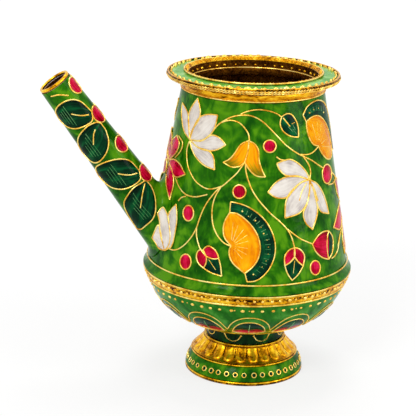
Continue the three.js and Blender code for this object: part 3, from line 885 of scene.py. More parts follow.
# %% Spout skin
def plain_piece(name, points, faces, material, corner_map=None):
    """A Blender object from points in millimetres, with a map of across and along values if given."""
    mesh = bpy.data.meshes.new(name)
    mesh.from_pydata([tuple(p * MM for p in point) for point in points], [], faces)
    if corner_map:
        layer = mesh.uv_layers.new(name="UVMap")
        for loop in mesh.loops:
            layer.data[loop.index].uv = corner_map[loop.vertex_index]
    mesh.materials.append(material)
    return mended(placed(name, mesh))


def skin_through(lines):
    """Faces of a closed skin through lines that each go once round a ring's section."""
    count = len(lines[0])
    faces = []
    for i in range(len(lines)):
        here, there = i * count, (i + 1) % len(lines) * count
        for k in range(count):
            after = (k + 1) % count
            faces.append((here + k, here + after, there + after, there + k))
    return faces


spout = plain_piece("spout_enamel", sum(spout_lines, []), skin_through(spout_lines), leaf_green)
fitted(spout, "leaf_green_enamel", "spout_tube")
spout.data.materials.append(dull_gilt)
for face in spout.data.polygons:
    outward = face.center / MM - spout_root
    s = outward.dot(spout_along)
    if (outward - spout_along * s).length < spout_radius(s) - SHEET / 2:
        face.material_index = 1
print("spout faces:", len(spout.data.polygons))

# %% Spout lip
SPOUT_LIP_INSET = 0.4
SPOUT_LIP_SETBACK = 0.05
lip_bore = spout_radius(tube_length) - SHEET - SPOUT_LIP_INSET
lip_section = soft_corners(block(lip_bore, SPOUT_TIP_RADIUS - SPOUT_LIP_SETBACK, 0, SPOUT_LIP_HEIGHT), 0.6)
lip = turned("spout_lip_bright", lip_section, bright_gilt, "gilding", "spout_lip", sides=96)
lip_place = Matrix.Translation((spout_root + spout_along * (tube_length + SEAM)) * MM)
lip.data.transform(lip_place @ Matrix.Rotation(SPOUT_TILT - math.pi / 2, 4, "Y"))


# %% Hole under the spout
def cut_hole(piece):
    """Cuts the spout's bore through the wall with a boolean, and keeps the result as the mesh."""
    drill_mesh = bpy.data.meshes.new("drill")
    shape = bmesh.new()
    depth = 4 * SPOUT_ROOT_RADIUS * MM
    radius = (SPOUT_ROOT_RADIUS - SHEET) * MM
    bmesh.ops.create_cone(shape, cap_ends=True, segments=72, radius1=radius, radius2=radius, depth=depth)
    bmesh.ops.transform(shape, verts=shape.verts, matrix=Matrix.Rotation(SPOUT_TILT - math.pi / 2, 4, "Y"))
    bmesh.ops.translate(shape, verts=shape.verts, vec=spout_root * MM)
    shape.to_mesh(drill_mesh)
    shape.free()
    drill = placed("drill", drill_mesh)
    cut = piece.modifiers.new("hole", "BOOLEAN")
    cut.operation = "DIFFERENCE"
    cut.object = drill
    cut.solver = "EXACT"
    settled(piece, cut)
    bpy.data.objects.remove(drill)


cut_hole(wall)
wall.data.materials.clear()
wall.data.materials.append(leaf_green)
for face in wall.data.polygons:
    face.material_index = 0
finish_faces(wall, dull_gilt, lambda r, z, normal: r < wall_radius(max(z, wall_foot)) - SHEET / 2)
print("wall faces after the cut:", len(wall.data.polygons))

# %% [markdown]
# ## Waist, collar and mouth
#
# The waist is a gilt band between two wires. The collar is moulded: a thin pale wire at its foot, a hollow,
# and a smooth shoulder under the flared rim. The rim is green on top and gilt underneath, where it flares.

# %% Waist shells
drawn_wire("lower_waist_wire", body_radius + SEAM, wire_gilt)
band_outer, waist_foot, waist_top = ring_box("waist_band")
WAIST_BAND_DEPTH = 0.8
ROOM_FOR_BOSSES = 0.25  # so that the bosses stay inside the solid band's outline
waist_section = [
    (body_radius + SEAM, waist_foot),
    (body_radius + SEAM + WAIST_BAND_DEPTH - ROOM_FOR_BOSSES, waist_foot),
    (band_outer - ROOM_FOR_BOSSES, waist_top),
    (body_radius + SEAM, waist_top),
]
turned("waist_band_gilding", waist_section, bright_gilt, "gilding", "waist_band")
drawn_wire("upper_waist_wire", body_radius + SEAM, wire_gilt)
drawn_wire("wall_foot_wire", body_radius + SEAM, wire_gilt)

# %% Collar
collar_radius, collar_foot, collar_top = ring_box("neck_collar")
MOUTH_STEP = 3.7  # from the neck's outside in to the clear mouth
mouth_radius = neck_radius - MOUTH_STEP
LEDGE = 0.6  # how far the collar shows inside the lining
COLLAR_MOULDING = [  # set back from the collar's radius, and rise above its foot
    (0.1, 0), (0, 0.3), (0.1, 0.65), (0.45, 0.8), (0.45, 1.1), (0.15, 1.5),
]
collar_section = [
    (mouth_radius - LEDGE, collar_foot),
    *[(collar_radius - back, collar_foot + rise) for back, rise in COLLAR_MOULDING],
    (collar_radius, collar_top - 1.0),
    (collar_radius - 0.15, collar_top),
    (mouth_radius - LEDGE, collar_top),
]
collar = turned(
    "neck_collar_moulding", soft_corners(collar_section, 0.2), streaked_gilt, "gilding", "neck_collar",
    sides=FINE_SIDES,
)
finish_faces(collar, wire_gilt, lambda r, z, normal: r > neck_radius and z < collar_foot + 0.78)
finish_faces(collar, dull_gilt, lambda r, z, normal: r < neck_radius and normal.z < 0.5)

# %% Rim
plate_radius, plate_foot, plate_top = ring_box("rim_plate")
edge_radius, edge_foot, edge_top = ring_box("rim_edge_band")
LINING = 0.8  # thickness of the mouth's lining
rim_bore = mouth_radius + LINING + SEAM
RIM_FALL = 0.7
rim_section = bowed((collar_radius, plate_foot), (plate_radius, edge_foot), -0.35) + [
    (plate_radius, plate_top - RIM_FALL),
    (rim_bore, plate_top),
    (rim_bore, plate_foot),
]
rim = turned(
    "rim_plate_enamel", soft_corners(rim_section, 0.2), rim_green, "sea_green_enamel", "rim_plate",
    sides=FINE_SIDES,
)
finish_faces(rim, bright_gilt, lambda r, z, normal: normal.z < 0.3)

RIM_EDGE_BEVEL = 1.2  # how far the edge band slopes in towards its foot
ORNAMENT_DEPTH = 0.35  # room outside the plain band for the ropes on it
edge_slope = [
    (edge_radius - RIM_EDGE_BEVEL - ORNAMENT_DEPTH, edge_foot),
    (edge_radius - ORNAMENT_DEPTH, edge_top - 0.8),
]
edge_section = [
    (plate_radius + SEAM, edge_foot),
    *edge_slope,
    (edge_radius - ORNAMENT_DEPTH - 0.3, edge_top),
    (plate_radius + SEAM, edge_top),
]
# Painted shade: the edge band is dark gilding where it slopes in under the rim, and bright gilt only on faces
# that look up and on its lowest strip.
edge = turned(
    "rim_edge_gilding", soft_corners(edge_section, 0.2), shade_gilt, "gilding", "rim_edge_band",
    sides=FINE_SIDES,
)
finish_faces(edge, bright_gilt, lambda r, z, normal: normal.z > 0.5 or z < edge_foot + 0.1)
print("rim reaches", round(edge_radius, 2), "mm")

# %% Lining of the mouth
lip_radius, lining_foot, lining_top = ring_box("mouth_lining")
LIP_DROP = 0.6  # from the rim's top down to where the lining's lip starts to slope out
lining_section = [
    (mouth_radius, lining_foot),
    (mouth_radius + LINING, lining_foot),
    (mouth_radius + LINING, plate_top + SEAM),
    (lip_radius, plate_top + SEAM),
    (lip_radius, lining_top),
    (mouth_radius, plate_top - LIP_DROP),
]
lining = turned(
    "mouth_lining_gilding", lining_section, dull_gilt, "dull_gilding", "mouth_lining", sides=FINE_SIDES,
)
ledge_radius = mouth_radius - LEDGE / 2
# Painted highlight: a pale wire along the ledge's edge stands for the light that the edge catches.
LEDGE_HIGHLIGHT_RADIUS, LEDGE_HIGHLIGHT_SIDES = 0.32, 8
wire_round = [2 * math.pi * step / LEDGE_HIGHLIGHT_SIDES for step in range(LEDGE_HIGHLIGHT_SIDES)]
ledge_highlight_section = [
    (ledge_radius + LEDGE_HIGHLIGHT_RADIUS * math.cos(t), collar_top + LEDGE_HIGHLIGHT_RADIUS * math.sin(t)) for t in wire_round
]
turned("ledge_highlight_wire", ledge_highlight_section, wire_gilt, "gilding", sides=120)
finish_faces(lining, bright_gilt, lambda r, z, normal: z > plate_top - LIP_DROP + 0.1)
drawn_wire("mouth_wire", lip_radius + SEAM, wire_gilt)
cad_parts["base_plate"].data.materials.clear()
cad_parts["base_plate"].data.materials.append(dull_gilt)
print("clear mouth:", round(2 * mouth_radius, 1), "mm across")

# %% [markdown]
# ## Drawing on the metal
#
# The flowers are drawn on the wall by hand, each petal a cell between two wires. In the script a point of
# the drawing is named by the angle round the axis and the run up the side, so that the drawing lies on the
# metal from whichever side it is seen. Where the drawing follows the picture, its points are pixels, and
# the sight line through the pixel is met with the wall. A run of points is smoothed, and a point that is
# named twice stays a sharp corner.


# %% A turned face to draw on
WIDEST_STEP = math.radians(5)  # round a face, between neighbouring points of a pad


class TurnedFace:
    """The outside of a turned piece, named by the angle round its axis and the run up its side in mm."""

    def __init__(self, profile, origin=(0, 0, 0), along=(0, 0, 1), front=(0, -1, 0), mirror=math.pi / 2):
        self.twin = self  # the face that carries the mirrored drawing
        self.step = WIDEST_STEP
        self.profile = profile
        self.mirror = mirror  # angle of the plane over which a drawing is mirrored
        self.origin = Vector(origin)
        self.along = Vector(along)
        self.front = Vector(front)
        self.side = self.along.cross(self.front)
        self.runs = [0.0]
        for (r0, z0), (r1, z1) in zip(profile, profile[1:]):
            self.runs.append(self.runs[-1] + math.hypot(r1 - r0, z1 - z0))

    def stretch_at(self, run):
        last = len(self.profile) - 2
        return next((i for i in range(last) if run <= self.runs[i + 1]), last)

    def radius(self, run):
        i = self.stretch_at(run)
        share = (run - self.runs[i]) / (self.runs[i + 1] - self.runs[i])
        return self.profile[i][0] + share * (self.profile[i + 1][0] - self.profile[i][0])

    def place(self, angle, run, lift=0.0):
        """The point in space at an angle and run, lifted off the face."""
        i = self.stretch_at(run)
        (r0, z0), (r1, z1) = self.profile[i], self.profile[i + 1]
        length = self.runs[i + 1] - self.runs[i]
        share = (run - self.runs[i]) / length
        radius = r0 + share * (r1 - r0) + lift * (z1 - z0) / length
        height = z0 + share * (z1 - z0) - lift * (r1 - r0) / length
        outward = self.front * math.cos(angle) + self.side * math.sin(angle)
        return self.origin + outward * radius + self.along * height

    def flipped(self, rail):
        """A run of places, mirrored over the plane of the spout."""
        return [Vector((2 * self.mirror - p.x, p.y)) for p in rail]

    def seen(self, pixel):
        """The angle and run where the sight line through a pixel meets the face."""
        def flat(v):
            return Vector((v.dot(self.front), v.dot(self.side)))

        ray = sight(pixel)
        start = eye - self.origin
        best = None
        for i, ((r0, z0), (r1, z1)) in enumerate(zip(self.profile, self.profile[1:])):
            taper = (r1 - r0) / (z1 - z0)
            s, d = flat(start), flat(ray)
            rest = r0 + taper * (start.dot(self.along) - z0)
            fall = taper * ray.dot(self.along)
            a, b, c = d.dot(d) - fall ** 2, 2 * (s.dot(d) - rest * fall), s.dot(s) - rest ** 2
            away = (-b - math.sqrt(max(b * b - 4 * a * c, 0))) / (2 * a)
            point = start + ray * away
            share = (point.dot(self.along) - z0) / (z1 - z0)
            outside = max(-share, share - 1, 0)
            if best is None or (outside, away) < best[:2]:
                run = self.runs[i] + share * (self.runs[i + 1] - self.runs[i])
                best = (outside, away, math.atan2(point.dot(self.side), point.dot(self.front)), run)
        return best[2], best[3]


print("turned faces ready")

# %% The skin that the picture shows
SEAM_DEPTH = 1.2  # how much deeper than beside it a sight line may fall into a seam


class SeenSkin:
    """The skin of some pieces where the picture shows it, named by pixels. Its twin is the far side's."""

    def __init__(self, pieces):
        points, faces = [], []
        for piece in pieces:
            first = len(points)
            points += [corner.co / MM for corner in piece.data.vertices]
            faces += [[first + i for i in face.vertices] for face in piece.data.polygons]
        self.skin = BVHTree.FromPolygons(points, faces)
        self.side = 1
        self.step = 1.5  # pixels
        self.twin = copy.copy(self)
        self.twin.side = -1

    def place(self, across, down, lift=0.0):
        """The point where the skin is met, kept level over the narrow gap of a seam."""
        ray = sight((across, down))
        point, normal, _, away = self.skin.ray_cast(eye, ray)
        for aside in (-0.8, 0.8):
            *_, beside_away = self.skin.ray_cast(eye, sight((across + aside, down)))
            if beside_away is not None and away - SEAM_DEPTH < beside_away < away:
                point = eye + ray * beside_away
        point = point - normal * math.copysign(lift, normal.dot(ray))
        return Vector((point.x, point.y * self.side, point.z))

    def seen(self, pixel):
        return pixel

    def flipped(self, rail):
        return rail


print("seen skins ready")

# %% Faces to draw on
wall_face = TurnedFace([(body_radius, wall_foot), (neck_radius, wall_top)])
spout_cone = [(SPOUT_ROOT_RADIUS, 0), (SPOUT_TIP_RADIUS, SPOUT_LENGTH)]
spout_face = TurnedFace(spout_cone, spout_root, spout_along, spout_upper, mirror=0.0)
bowl_face = TurnedFace(bowl_side)
root_skin = SeenSkin([spout, wall])
print("wall runs", round(wall_face.runs[-1], 1), "mm up its side, the bowl", round(bowl_face.runs[-1], 1))

# %% Smooth runs of points
SPAN_STEPS = 6


def smooth(points):
    """A smooth run through points. A point named twice ends one smooth stretch and starts the next."""
    stretches, current = [], [points[0]]
    for before, point in zip(points, points[1:]):
        if point == before:
            stretches.append(current)
            current = [point]
        else:
            current.append(point)
    stretches.append(current)
    run = [Vector(points[0])]
    for stretch in stretches:
        knots = [Vector(p) for p in stretch]
        for i in range(len(knots) - 1):
            a, b = knots[i], knots[i + 1]
            before = knots[i - 1] if i else a + (a - b)
            after = knots[i + 2] if i + 2 < len(knots) else b + (b - a)
            out = (b - before) / 2 * (b - a).length * 2 / ((b - a).length + (a - before).length)
            into = (after - a) / 2 * (b - a).length * 2 / ((b - a).length + (after - b).length)
            for step in range(1, SPAN_STEPS + 1):
                t = step / SPAN_STEPS
                run.append(
                    a * (2 * t ** 3 - 3 * t ** 2 + 1) + out * (t ** 3 - 2 * t ** 2 + t)
                    + b * (3 * t ** 2 - 2 * t ** 3) + into * (t ** 3 - t ** 2)
                )
    return run


def even(face, run, count):
    """The same run with points at equal steps of its length on the face."""
    lengths = [0.0]
    for a, b in zip(run, run[1:]):
        lengths.append(lengths[-1] + (face.place(*b) - face.place(*a)).length)
    result, i = [], 0
    for step in range(count + 1):
        want = lengths[-1] * step / count
        while i < len(run) - 2 and lengths[i + 1] < want:
            i += 1
        part = lengths[i + 1] - lengths[i]
        result.append(run[i].lerp(run[i + 1], (want - lengths[i]) / part if part else 0))
    return result


print("points added between two named ones:", SPAN_STEPS - 1)

# %% [markdown]
# ## Cells and fences
#
# A cell is a pad of glass between two rails: rungs from rail to rail, a little dome across them, and an
# underside sunk into the ground, so the pad is closed. The fence is a drawn wire along each rail. All cells
# of one colour are one piece, and all fences are one piece, grown from thin lines by a tree that makes the
# lines even, varies the wire's thickness a little as a hand-drawn wire does, and closes its ends.

# %% Cells
CELL_SINK = -0.3  # underside of a cell, below the ground
CELL_EDGE = 0.08  # height of the glass at the fence
CELL_DOME = 0.34
CELL_LONG = 16  # rungs along a cell
CELL_WIDE = 6  # least number of steps across it


class Cell:
    """A pool of glass between two rails, with a place on it for shares across and along."""

    def __init__(self, face, colour, first, second, dome):
        self.face = face
        self.colour = colour
        self.rails = even(face, first, CELL_LONG), even(face, second, CELL_LONG)
        self.dome = dome
        self.strokes = []
        self.widths = [(face.place(*a) - face.place(*b)).length for a, b in zip(*self.rails)]
        span = max(abs(a.x - b.x) for a, b in zip(*self.rails))
        self.columns = max(CELL_WIDE, math.ceil(span / face.step))

    def on(self, u, v, lift=0.0):
        """The point of the domed glass at a share u across and v along."""
        first, second = self.rails
        i = min(int(v * CELL_LONG), CELL_LONG - 1)
        part = v * CELL_LONG - i
        a, b = first[i].lerp(first[i + 1], part), second[i].lerp(second[i + 1], part)
        width = self.widths[i] + part * (self.widths[i + 1] - self.widths[i])
        fullness = math.sqrt(width / max(self.widths))
        rise = CELL_EDGE + self.dome * fullness * (4 * u * (1 - u)) ** 0.7
        return self.face.place(*a.lerp(b, u), rise + lift)

    def under(self, u, v):
        first, second = self.rails
        i = round(v * CELL_LONG)
        return self.face.place(*first[i].lerp(second[i], u), CELL_SINK)

    def mirrored(self):
        rails = [self.face.flipped(rail) for rail in self.rails]
        other = Cell(self.face.twin, self.colour, *rails, self.dome)
        other.strokes = self.strokes
        return other


print("steps along and across a cell:", CELL_LONG, CELL_WIDE)

# %% The drawing board
OVAL_STEPS = 16


def by_degrees(point):
    """An angle in degrees and a run, as a place on a face."""
    return math.radians(point[0]), point[1]


class Drawing:
    """Cells and fences of one face, kept as angles and runs, so that they can be repeated elsewhere."""

    def __init__(self, face, named=None):
        self.face = face
        self.named = named or face.seen  # points are pixels, unless they are named in another way
        self.cells = []
        self.fences = []
        self.hairlines = []
        self.studs = []

    def at(self, points):
        return [Vector(self.named(p)) for p in smooth(points)]

    def cell(self, colour, first, second, fences=True, dome=CELL_DOME):
        """A cell between two rails of points."""
        rails = self.at(first), self.at(second)
        self.cells.append(Cell(self.face, colour, *rails, dome))
        if fences:
            self.fences += rails
        return self.cells[-1]

    def petal(self, colour, base, tip, first, second, **more):
        return self.cell(colour, [base, *first, tip], [base, *second, tip], **more)

    def vine(self, *points):
        self.fences.append(self.at(points))

    def hairline(self, *points):
        """A finer wire that lies on the glass of a cell."""
        self.hairlines.append(self.at(points))

    def oval(self, colour, centre, half_width, half_height, fence=True):
        """A round or oval cell, with the half sizes in the units that points are named in."""
        def rail(side):
            pixels = []
            for step in range(OVAL_STEPS + 1):
                a = math.pi * step / OVAL_STEPS
                x, y = half_width * side * math.sin(a), half_height * math.cos(a)
                pixels.append((centre[0] + x, centre[1] + y))
            return [Vector(self.named(p)) for p in pixels]

        rails = rail(-1), rail(1)
        self.cells.append(Cell(self.face, colour, *rails, CELL_DOME))
        if fence:
            self.fences.append(rails[0] + rails[1][::-1][1:])

    def stud(self, size, *points):
        """Small gilt grains, with their half size in mm."""
        self.studs += [(Vector(self.named(p)), size) for p in points]

    def mirrored(self):
        """The same drawing on the pot's other face, mirrored over the plane of the spout."""
        other = Drawing(self.face.twin)
        other.cells = [cell.mirrored() for cell in self.cells]
        other.fences = [self.face.flipped(run) for run in self.fences]
        other.hairlines = [self.face.flipped(run) for run in self.hairlines]
        other.studs = [(self.face.flipped([place])[0], size) for place, size in self.studs]
        return other


print("drawing board ready")

# %% The tree that draws wires
def fence_tree():
    tree, nodes, given = new_tree("drawn_fence", {
        "Wire Radius": ("Float", 0.0004),
        "Step": ("Float", 0.0008),
        "Unevenness": ("Float", 0.12),
        "Sides": ("Int", 8),
        "Seed": ("Int", 1),
        "Material": ("Material", None),
    })
    line = nodes.add("GeometryNodeMeshToCurve", inputs={"Mesh": given["Geometry"]})
    line = nodes.add("GeometryNodeResampleCurve", {"mode": "LENGTH"}, {
        "Curve": line, "Length": given["Step"],
    })
    wave = nodes.add("ShaderNodeTexNoise", {"noise_dimensions": "4D"}, {
        "Vector": nodes.add("GeometryNodeInputPosition"), "W": given["Seed"], "Scale": 420.0, "Detail": 1.0,
    }, output="Fac")
    radius = given["Wire Radius"] * (1.0 + given["Unevenness"] * (wave - 0.5) * 2.0)
    ring = nodes.add("GeometryNodeCurvePrimitiveCircle", inputs={"Resolution": given["Sides"], "Radius": 1.0})
    wire = nodes.add("GeometryNodeCurveToMesh", inputs={
        "Curve": line, "Profile Curve": ring, "Scale": radius, "Fill Caps": True,
    })
    end_tree(nodes, wire, given["Material"])
    return tree


drawn_fence = fence_tree()
WIRE_UNEVENNESS = 0.14
WIRE_SEED = 1


def wires_along(name, runs, radius, material, step=0.8, sides=6):
    """Wires along runs of points in millimetres, as one object."""
    points, edges = [], []
    for run in runs:
        for i in range(len(run) - 1):
            edges.append((len(points) + i, len(points) + i + 1))
        points += [tuple(p * MM) for p in run]
    mesh = bpy.data.meshes.new(name + "_lines")
    mesh.from_pydata(points, edges, [])
    return grown(name, drawn_fence, mesh, {
        "Wire Radius": radius * MM, "Step": step * MM, "Unevenness": WIRE_UNEVENNESS, "Sides": sides,
        "Seed": WIRE_SEED, "Material": material,
    })


def fence_piece(name, runs, radius, material, slot="gilding", **more):
    piece = mended(wires_along(name, runs, radius, material, **more), math.radians(75))
    fitted(piece, slot)
    print(name, "wires:", len(runs), "faces:", len(piece.data.polygons))


print("tree:", drawn_fence.name)


# %% Pads of glass
GRAIN_SIDES = 8


class Pads:
    """Points, faces and map values of closed pads that lie on a face."""

    def __init__(self):
        self.points = []
        self.faces = []
        self.map = []

    def cell(self, cell):
        start = len(self.points)
        wide = cell.columns
        row = wide + 1
        for point_at in (cell.on, cell.under):
            for i in range(CELL_LONG + 1):
                for j in range(row):
                    self.points.append(point_at(j / wide, i / CELL_LONG))
                    self.map.append((j / wide, i / CELL_LONG))
        under = start + row * (CELL_LONG + 1)
        for i in range(CELL_LONG):
            for j in range(wide):
                k = i * row + j
                self.faces.append((start + k, start + k + 1, start + k + row + 1, start + k + row))
                self.faces.append((under + k, under + k + row, under + k + row + 1, under + k + 1))
        border = list(range(row))
        border += [i * row + wide for i in range(1, CELL_LONG + 1)]
        border += [CELL_LONG * row + j for j in range(wide - 1, -1, -1)]
        border += [i * row for i in range(CELL_LONG - 1, 0, -1)]
        for a, b in zip(border, border[1:] + border[:1]):
            self.faces.append((start + a, under + a, under + b, start + b))

    def grain(self, face, angle, run, half_round, half_up, height):
        """A small closed mound on a face, as a drop of solder."""
        start = len(self.points)
        radius = face.radius(run)
        rings = [(1.0, CELL_SINK), (1.0, 0.0), (0.86, 0.5 * height), (0.5, 0.87 * height)]  # size and lift
        for size, lift in rings:
            for k in range(GRAIN_SIDES):
                turn = 2 * math.pi * k / GRAIN_SIDES
                across = size * half_round * math.cos(turn) / radius
                self.points.append(face.place(angle + across, run + size * half_up * math.sin(turn), lift))
        self.points += [face.place(angle, run, CELL_SINK), face.place(angle, run, height)]
        self.map += [(0.5, 0.5)] * (len(self.points) - start)
        foot, peak = len(self.points) - 2, len(self.points) - 1
        for k in range(GRAIN_SIDES):
            after = (k + 1) % GRAIN_SIDES
            self.faces.append((foot, start + after, start + k))
            for ring in range(len(rings) - 1):
                low, high = start + ring * GRAIN_SIDES, start + (ring + 1) * GRAIN_SIDES
                self.faces.append((low + k, low + after, high + after, high + k))
            self.faces.append((foot - GRAIN_SIDES + k, foot - GRAIN_SIDES + after, peak))

    def loose(self, name, material):
        return plain_piece(name, self.points, self.faces, material, self.map)

    def piece(self, name, material, slot):
        made = fitted(self.loose(name, material), slot)
        print(name, "faces:", len(made.data.polygons))


print("sides of a grain:", GRAIN_SIDES)

# %% Laying a drawing
FENCE_LIFT = 0.14  # centre of the wire above the ground
FENCE_RADIUS = 0.42
HAIRLINE_LIFT = 0.42  # centre of a fine wire that lies on the domed glass
HAIRLINE_RADIUS = 0.19
STROKE_LIFT = -0.04
STROKE_RADIUS = 0.13
STROKE_PLACES = [i / 12 for i in range(13)]
STUD_TOP = 0.75  # height of a grain over the ground
CELL_SLOT = {
    "white": (white_glass, "white_enamel"),
    "crimson": (crimson_glass, "crimson_enamel"),
    "marigold": (marigold_glass, "marigold_enamel"),
    "bell": (bell_glass, "marigold_enamel"),
    "deep": (deep_glass, "deep_green_enamel"),
    "leaf": (leaf_glass, "deep_green_enamel"),
    "gold": (bright_gilt, "gilding"),
}


def laid(name, drawings):
    """Lays drawings on their faces: a piece of glass for each colour, and pieces of fences and grains."""
    pads = {}
    for drawing in drawings:
        for cell in drawing.cells:
            pads.setdefault(cell.colour, Pads()).cell(cell)
    for colour, pad in pads.items():
        material, slot = CELL_SLOT[colour]
        pad.piece(name + "_" + colour + "_cells", material, slot)
    runs = [[d.face.place(*p, FENCE_LIFT) for p in run] for d in drawings for run in d.fences]
    fence_piece(name + "_fences", runs, FENCE_RADIUS, wire_gilt)
    fine = [[d.face.place(*p, HAIRLINE_LIFT) for p in run] for d in drawings for run in d.hairlines]
    if fine:
        fence_piece(name + "_hairlines", fine, HAIRLINE_RADIUS, wire_gilt, sides=5)
    strokes = [
        [cell.on(u0 + t * (u1 - u0), v0 + t * (v1 - v0), STROKE_LIFT) for t in STROKE_PLACES]
        for drawing in drawings for cell in drawing.cells for (u0, v0), (u1, v1) in cell.strokes
    ]
    if strokes:
        fence_piece(name + "_strokes", strokes, STROKE_RADIUS, pale_strokes, "sea_green_enamel", sides=5)
    grains = Pads()
    for drawing in drawings:
        for place, size in drawing.studs:
            grains.grain(drawing.face, *place, size, size, STUD_TOP)
    if grains.points:
        grains.piece(name + "_studs", wire_gilt, "gilding")


print("colours of the cells:", list(CELL_SLOT))

# %% [markdown]
# ## The drawing on the wall
#
# Two lotus flowers in white, an orange bell on a forked stem, two half-open lotus seed heads in orange
# behind a dark-green crescent, buds, berries and one dark leaf, all joined by thin vines. The points below
# are pixels of the picture, given at the tips and the widest places of each petal.

# %% Lotus flowers
front = Drawing(wall_face)
LEFT_HEART = (190.1, 139.8)
RIGHT_HEART = (309.2, 179.6)
LOTUS_PETALS = [  # heart, tip, and places down both edges
    (LEFT_HEART, (182.9, 102.8), [(184.6, 131.5), (182.5, 120.6), (181.9, 110.5)],
     [(189.3, 127.5), (188.2, 113.0)]),
    (LEFT_HEART, (198.1, 98.1), [(189.1, 127.0), (188.7, 118.2), (191.0, 108.8)],
     [(192.5, 130.0), (198.8, 120.6), (200.7, 111.5)]),
    (LEFT_HEART, (217.9, 115.1), [(191.9, 133.6), (195.6, 123.6), (200.7, 116.8), (208.3, 114.4)],
     [(201.6, 140.4), (210.7, 134.3), (215.0, 127.4)]),
    (LEFT_HEART, (226.0, 145.0), [(201.6, 140.9), (211.7, 135.2), (219.8, 137.8)],
     [(198.3, 147.4), (208.8, 150.8), (217.5, 149.6)]),
    (LEFT_HEART, (214.8, 169.8), [(191.5, 147.5), (196.4, 157.5), (204.8, 165.6)],
     [(198.3, 147.4), (208.8, 150.8), (213.6, 157.0)]),
    (RIGHT_HEART, (276.5, 163.4), [(306.3, 172.5), (299.6, 164.6), (290.5, 159.4), (283.5, 160.6)],
     [(297.0, 176.0), (286.4, 175.6), (279.6, 170.2)]),
    (RIGHT_HEART, (267.8, 192.3), [(297.0, 176.4), (284.8, 177.4), (274.8, 183.2)],
     [(300.6, 182.4), (292.5, 191.0), (286.4, 197.5), (276.0, 197.6)]),
    (RIGHT_HEART, (284.8, 218.1), [(300.6, 182.6), (290.4, 192.0), (285.6, 202.0)],
     [(309.2, 190.5), (306.6, 203.4), (299.0, 213.2)]),
    (RIGHT_HEART, (312.3, 229.4), [(309.4, 190.5), (307.0, 203.0), (303.0, 213.8), (305.8, 223.4)],
     [(313.0, 189.4), (316.2, 201.0), (317.0, 213.5)]),
    (RIGHT_HEART, (328.3, 213.6), [(313.0, 189.4), (316.6, 203.1), (320.6, 211.6)],
     [(316.6, 183.6), (322.6, 193.0), (326.4, 204.5)]),
]
for heart, tip, *edges in LOTUS_PETALS:
    front.petal("white", heart, tip, *edges)
front.vine((306.1, 183.0), (301.7, 191.1), (298.9, 200.7))
front.vine((311.6, 184.0), (315.0, 192.0), (317.6, 201.0))
front.oval("gold", (309.4, 179.4), 1.6, 1.9, fence=False)
print("cells drawn:", len(front.cells))

# %% Orange bell
BELL_TOP = (248.9, 140.5)
BELL_NOTCH = (244.6, 162.6)
BELL_INNER = [BELL_TOP, (248.0, 151.0), BELL_NOTCH, BELL_NOTCH]
front.cell("bell", [BELL_TOP, (241.0, 144.4), (234.6, 153.4), (229.4, 159.2), (223.3, 162.3)],
           BELL_INNER + [(239.4, 166.4), (232.0, 167.0), (223.3, 162.3)])
front.cell("bell", [BELL_TOP, (255.2, 144.4), (258.4, 150.5), (258.9, 159.0), (260.8, 167.2), (265.2, 177.0)],
           BELL_INNER + [(250.4, 171.0), (256.6, 176.0), (265.2, 177.0)])
print("cells drawn:", len(front.cells))

# %% Lotus seed heads behind a crescent
NOTCH = (231.1, 245.9)
RIGHT_NOTCH = (318.0, 145.8)
VEIN_START = 0.25  # a vein starts a quarter of the way out from the notch
STUD, SMALL_STUD = 0.62, 0.36
HEAD_EDGE = [(229.8, 212.6), (237.0, 213.6), (244.6, 218.6), (251.6, 225.8), (256.8, 234.0), (259.7, 243.5),
             (259.9, 251.4), (257.6, 259.8), (252.6, 267.0), (244.9, 273.4)]


def add_strokes(crescent, count, end):
    """Even pale dashes across the middle of a crescent."""
    for i in range(count):
        v = 0.12 + (end - 0.12) * i / (count - 1)
        crescent.strokes.append(((0.3, v), (0.66, v + 0.012)))


def add_veins(notch, ends):
    for end in ends:
        front.hairline(tuple(a + VEIN_START * (b - a) for a, b in zip(notch, end)), end)


crescent = front.cell(
    "deep", [(230.8, 201.8), (239.2, 203.5), (247.7, 206.7), (256.2, 212.0), (263.5, 218.6), (268.6, 225.6),
             (272.8, 234.4), (275.0, 243.5), (275.0, 252.6), (272.8, 261.7), (268.3, 270.2), (262.3, 276.8),
             (255.6, 280.9), (247.1, 281.9)], HEAD_EDGE, dome=0.42,
)
front.cell(
    "marigold", HEAD_EDGE, [(229.8, 212.6), (225.4, 220.0), (223.3, 228.5), (224.6, 237.5), NOTCH, NOTCH,
                            (229.2, 250.5), (229.9, 257.5), (234.0, 264.4), (244.9, 273.4)], dome=0.5,
)
add_strokes(crescent, 17, 0.9)
front.vine((230.8, 201.8), (229.8, 212.6))
front.vine((247.1, 281.9), (244.9, 273.4))
front.stud(STUD, (242.4, 211.2), (255.3, 220.5), (263.5, 233.5), (253.3, 274.4))
front.stud(SMALL_STUD, (248.6, 216.2), (261.0, 227.2), (266.9, 240.0), (268.2, 247.0), (268.0, 254.0),
           (265.9, 260.8), (262.0, 266.8))
add_veins(NOTCH, [(233.2, 222.3), (238.0, 225.3), (243.5, 229.5), (247.2, 235.0), (248.3, 241.0),
                  (247.7, 248.3), (246.6, 254.4), (242.3, 258.6)])

front.stud(STUD, (309.0, 112.8), (322.8, 112.4))
front.stud(SMALL_STUD, (313.0, 109.6), (317.6, 108.2))
add_veins(RIGHT_NOTCH, [(311.4, 124.0), (316.4, 121.4), (320.4, 123.4), (324.4, 129.6), (327.0, 137.6),
                        (328.8, 147.0)])
print("studs and fine wires drawn:", len(front.studs), len(front.hairlines))

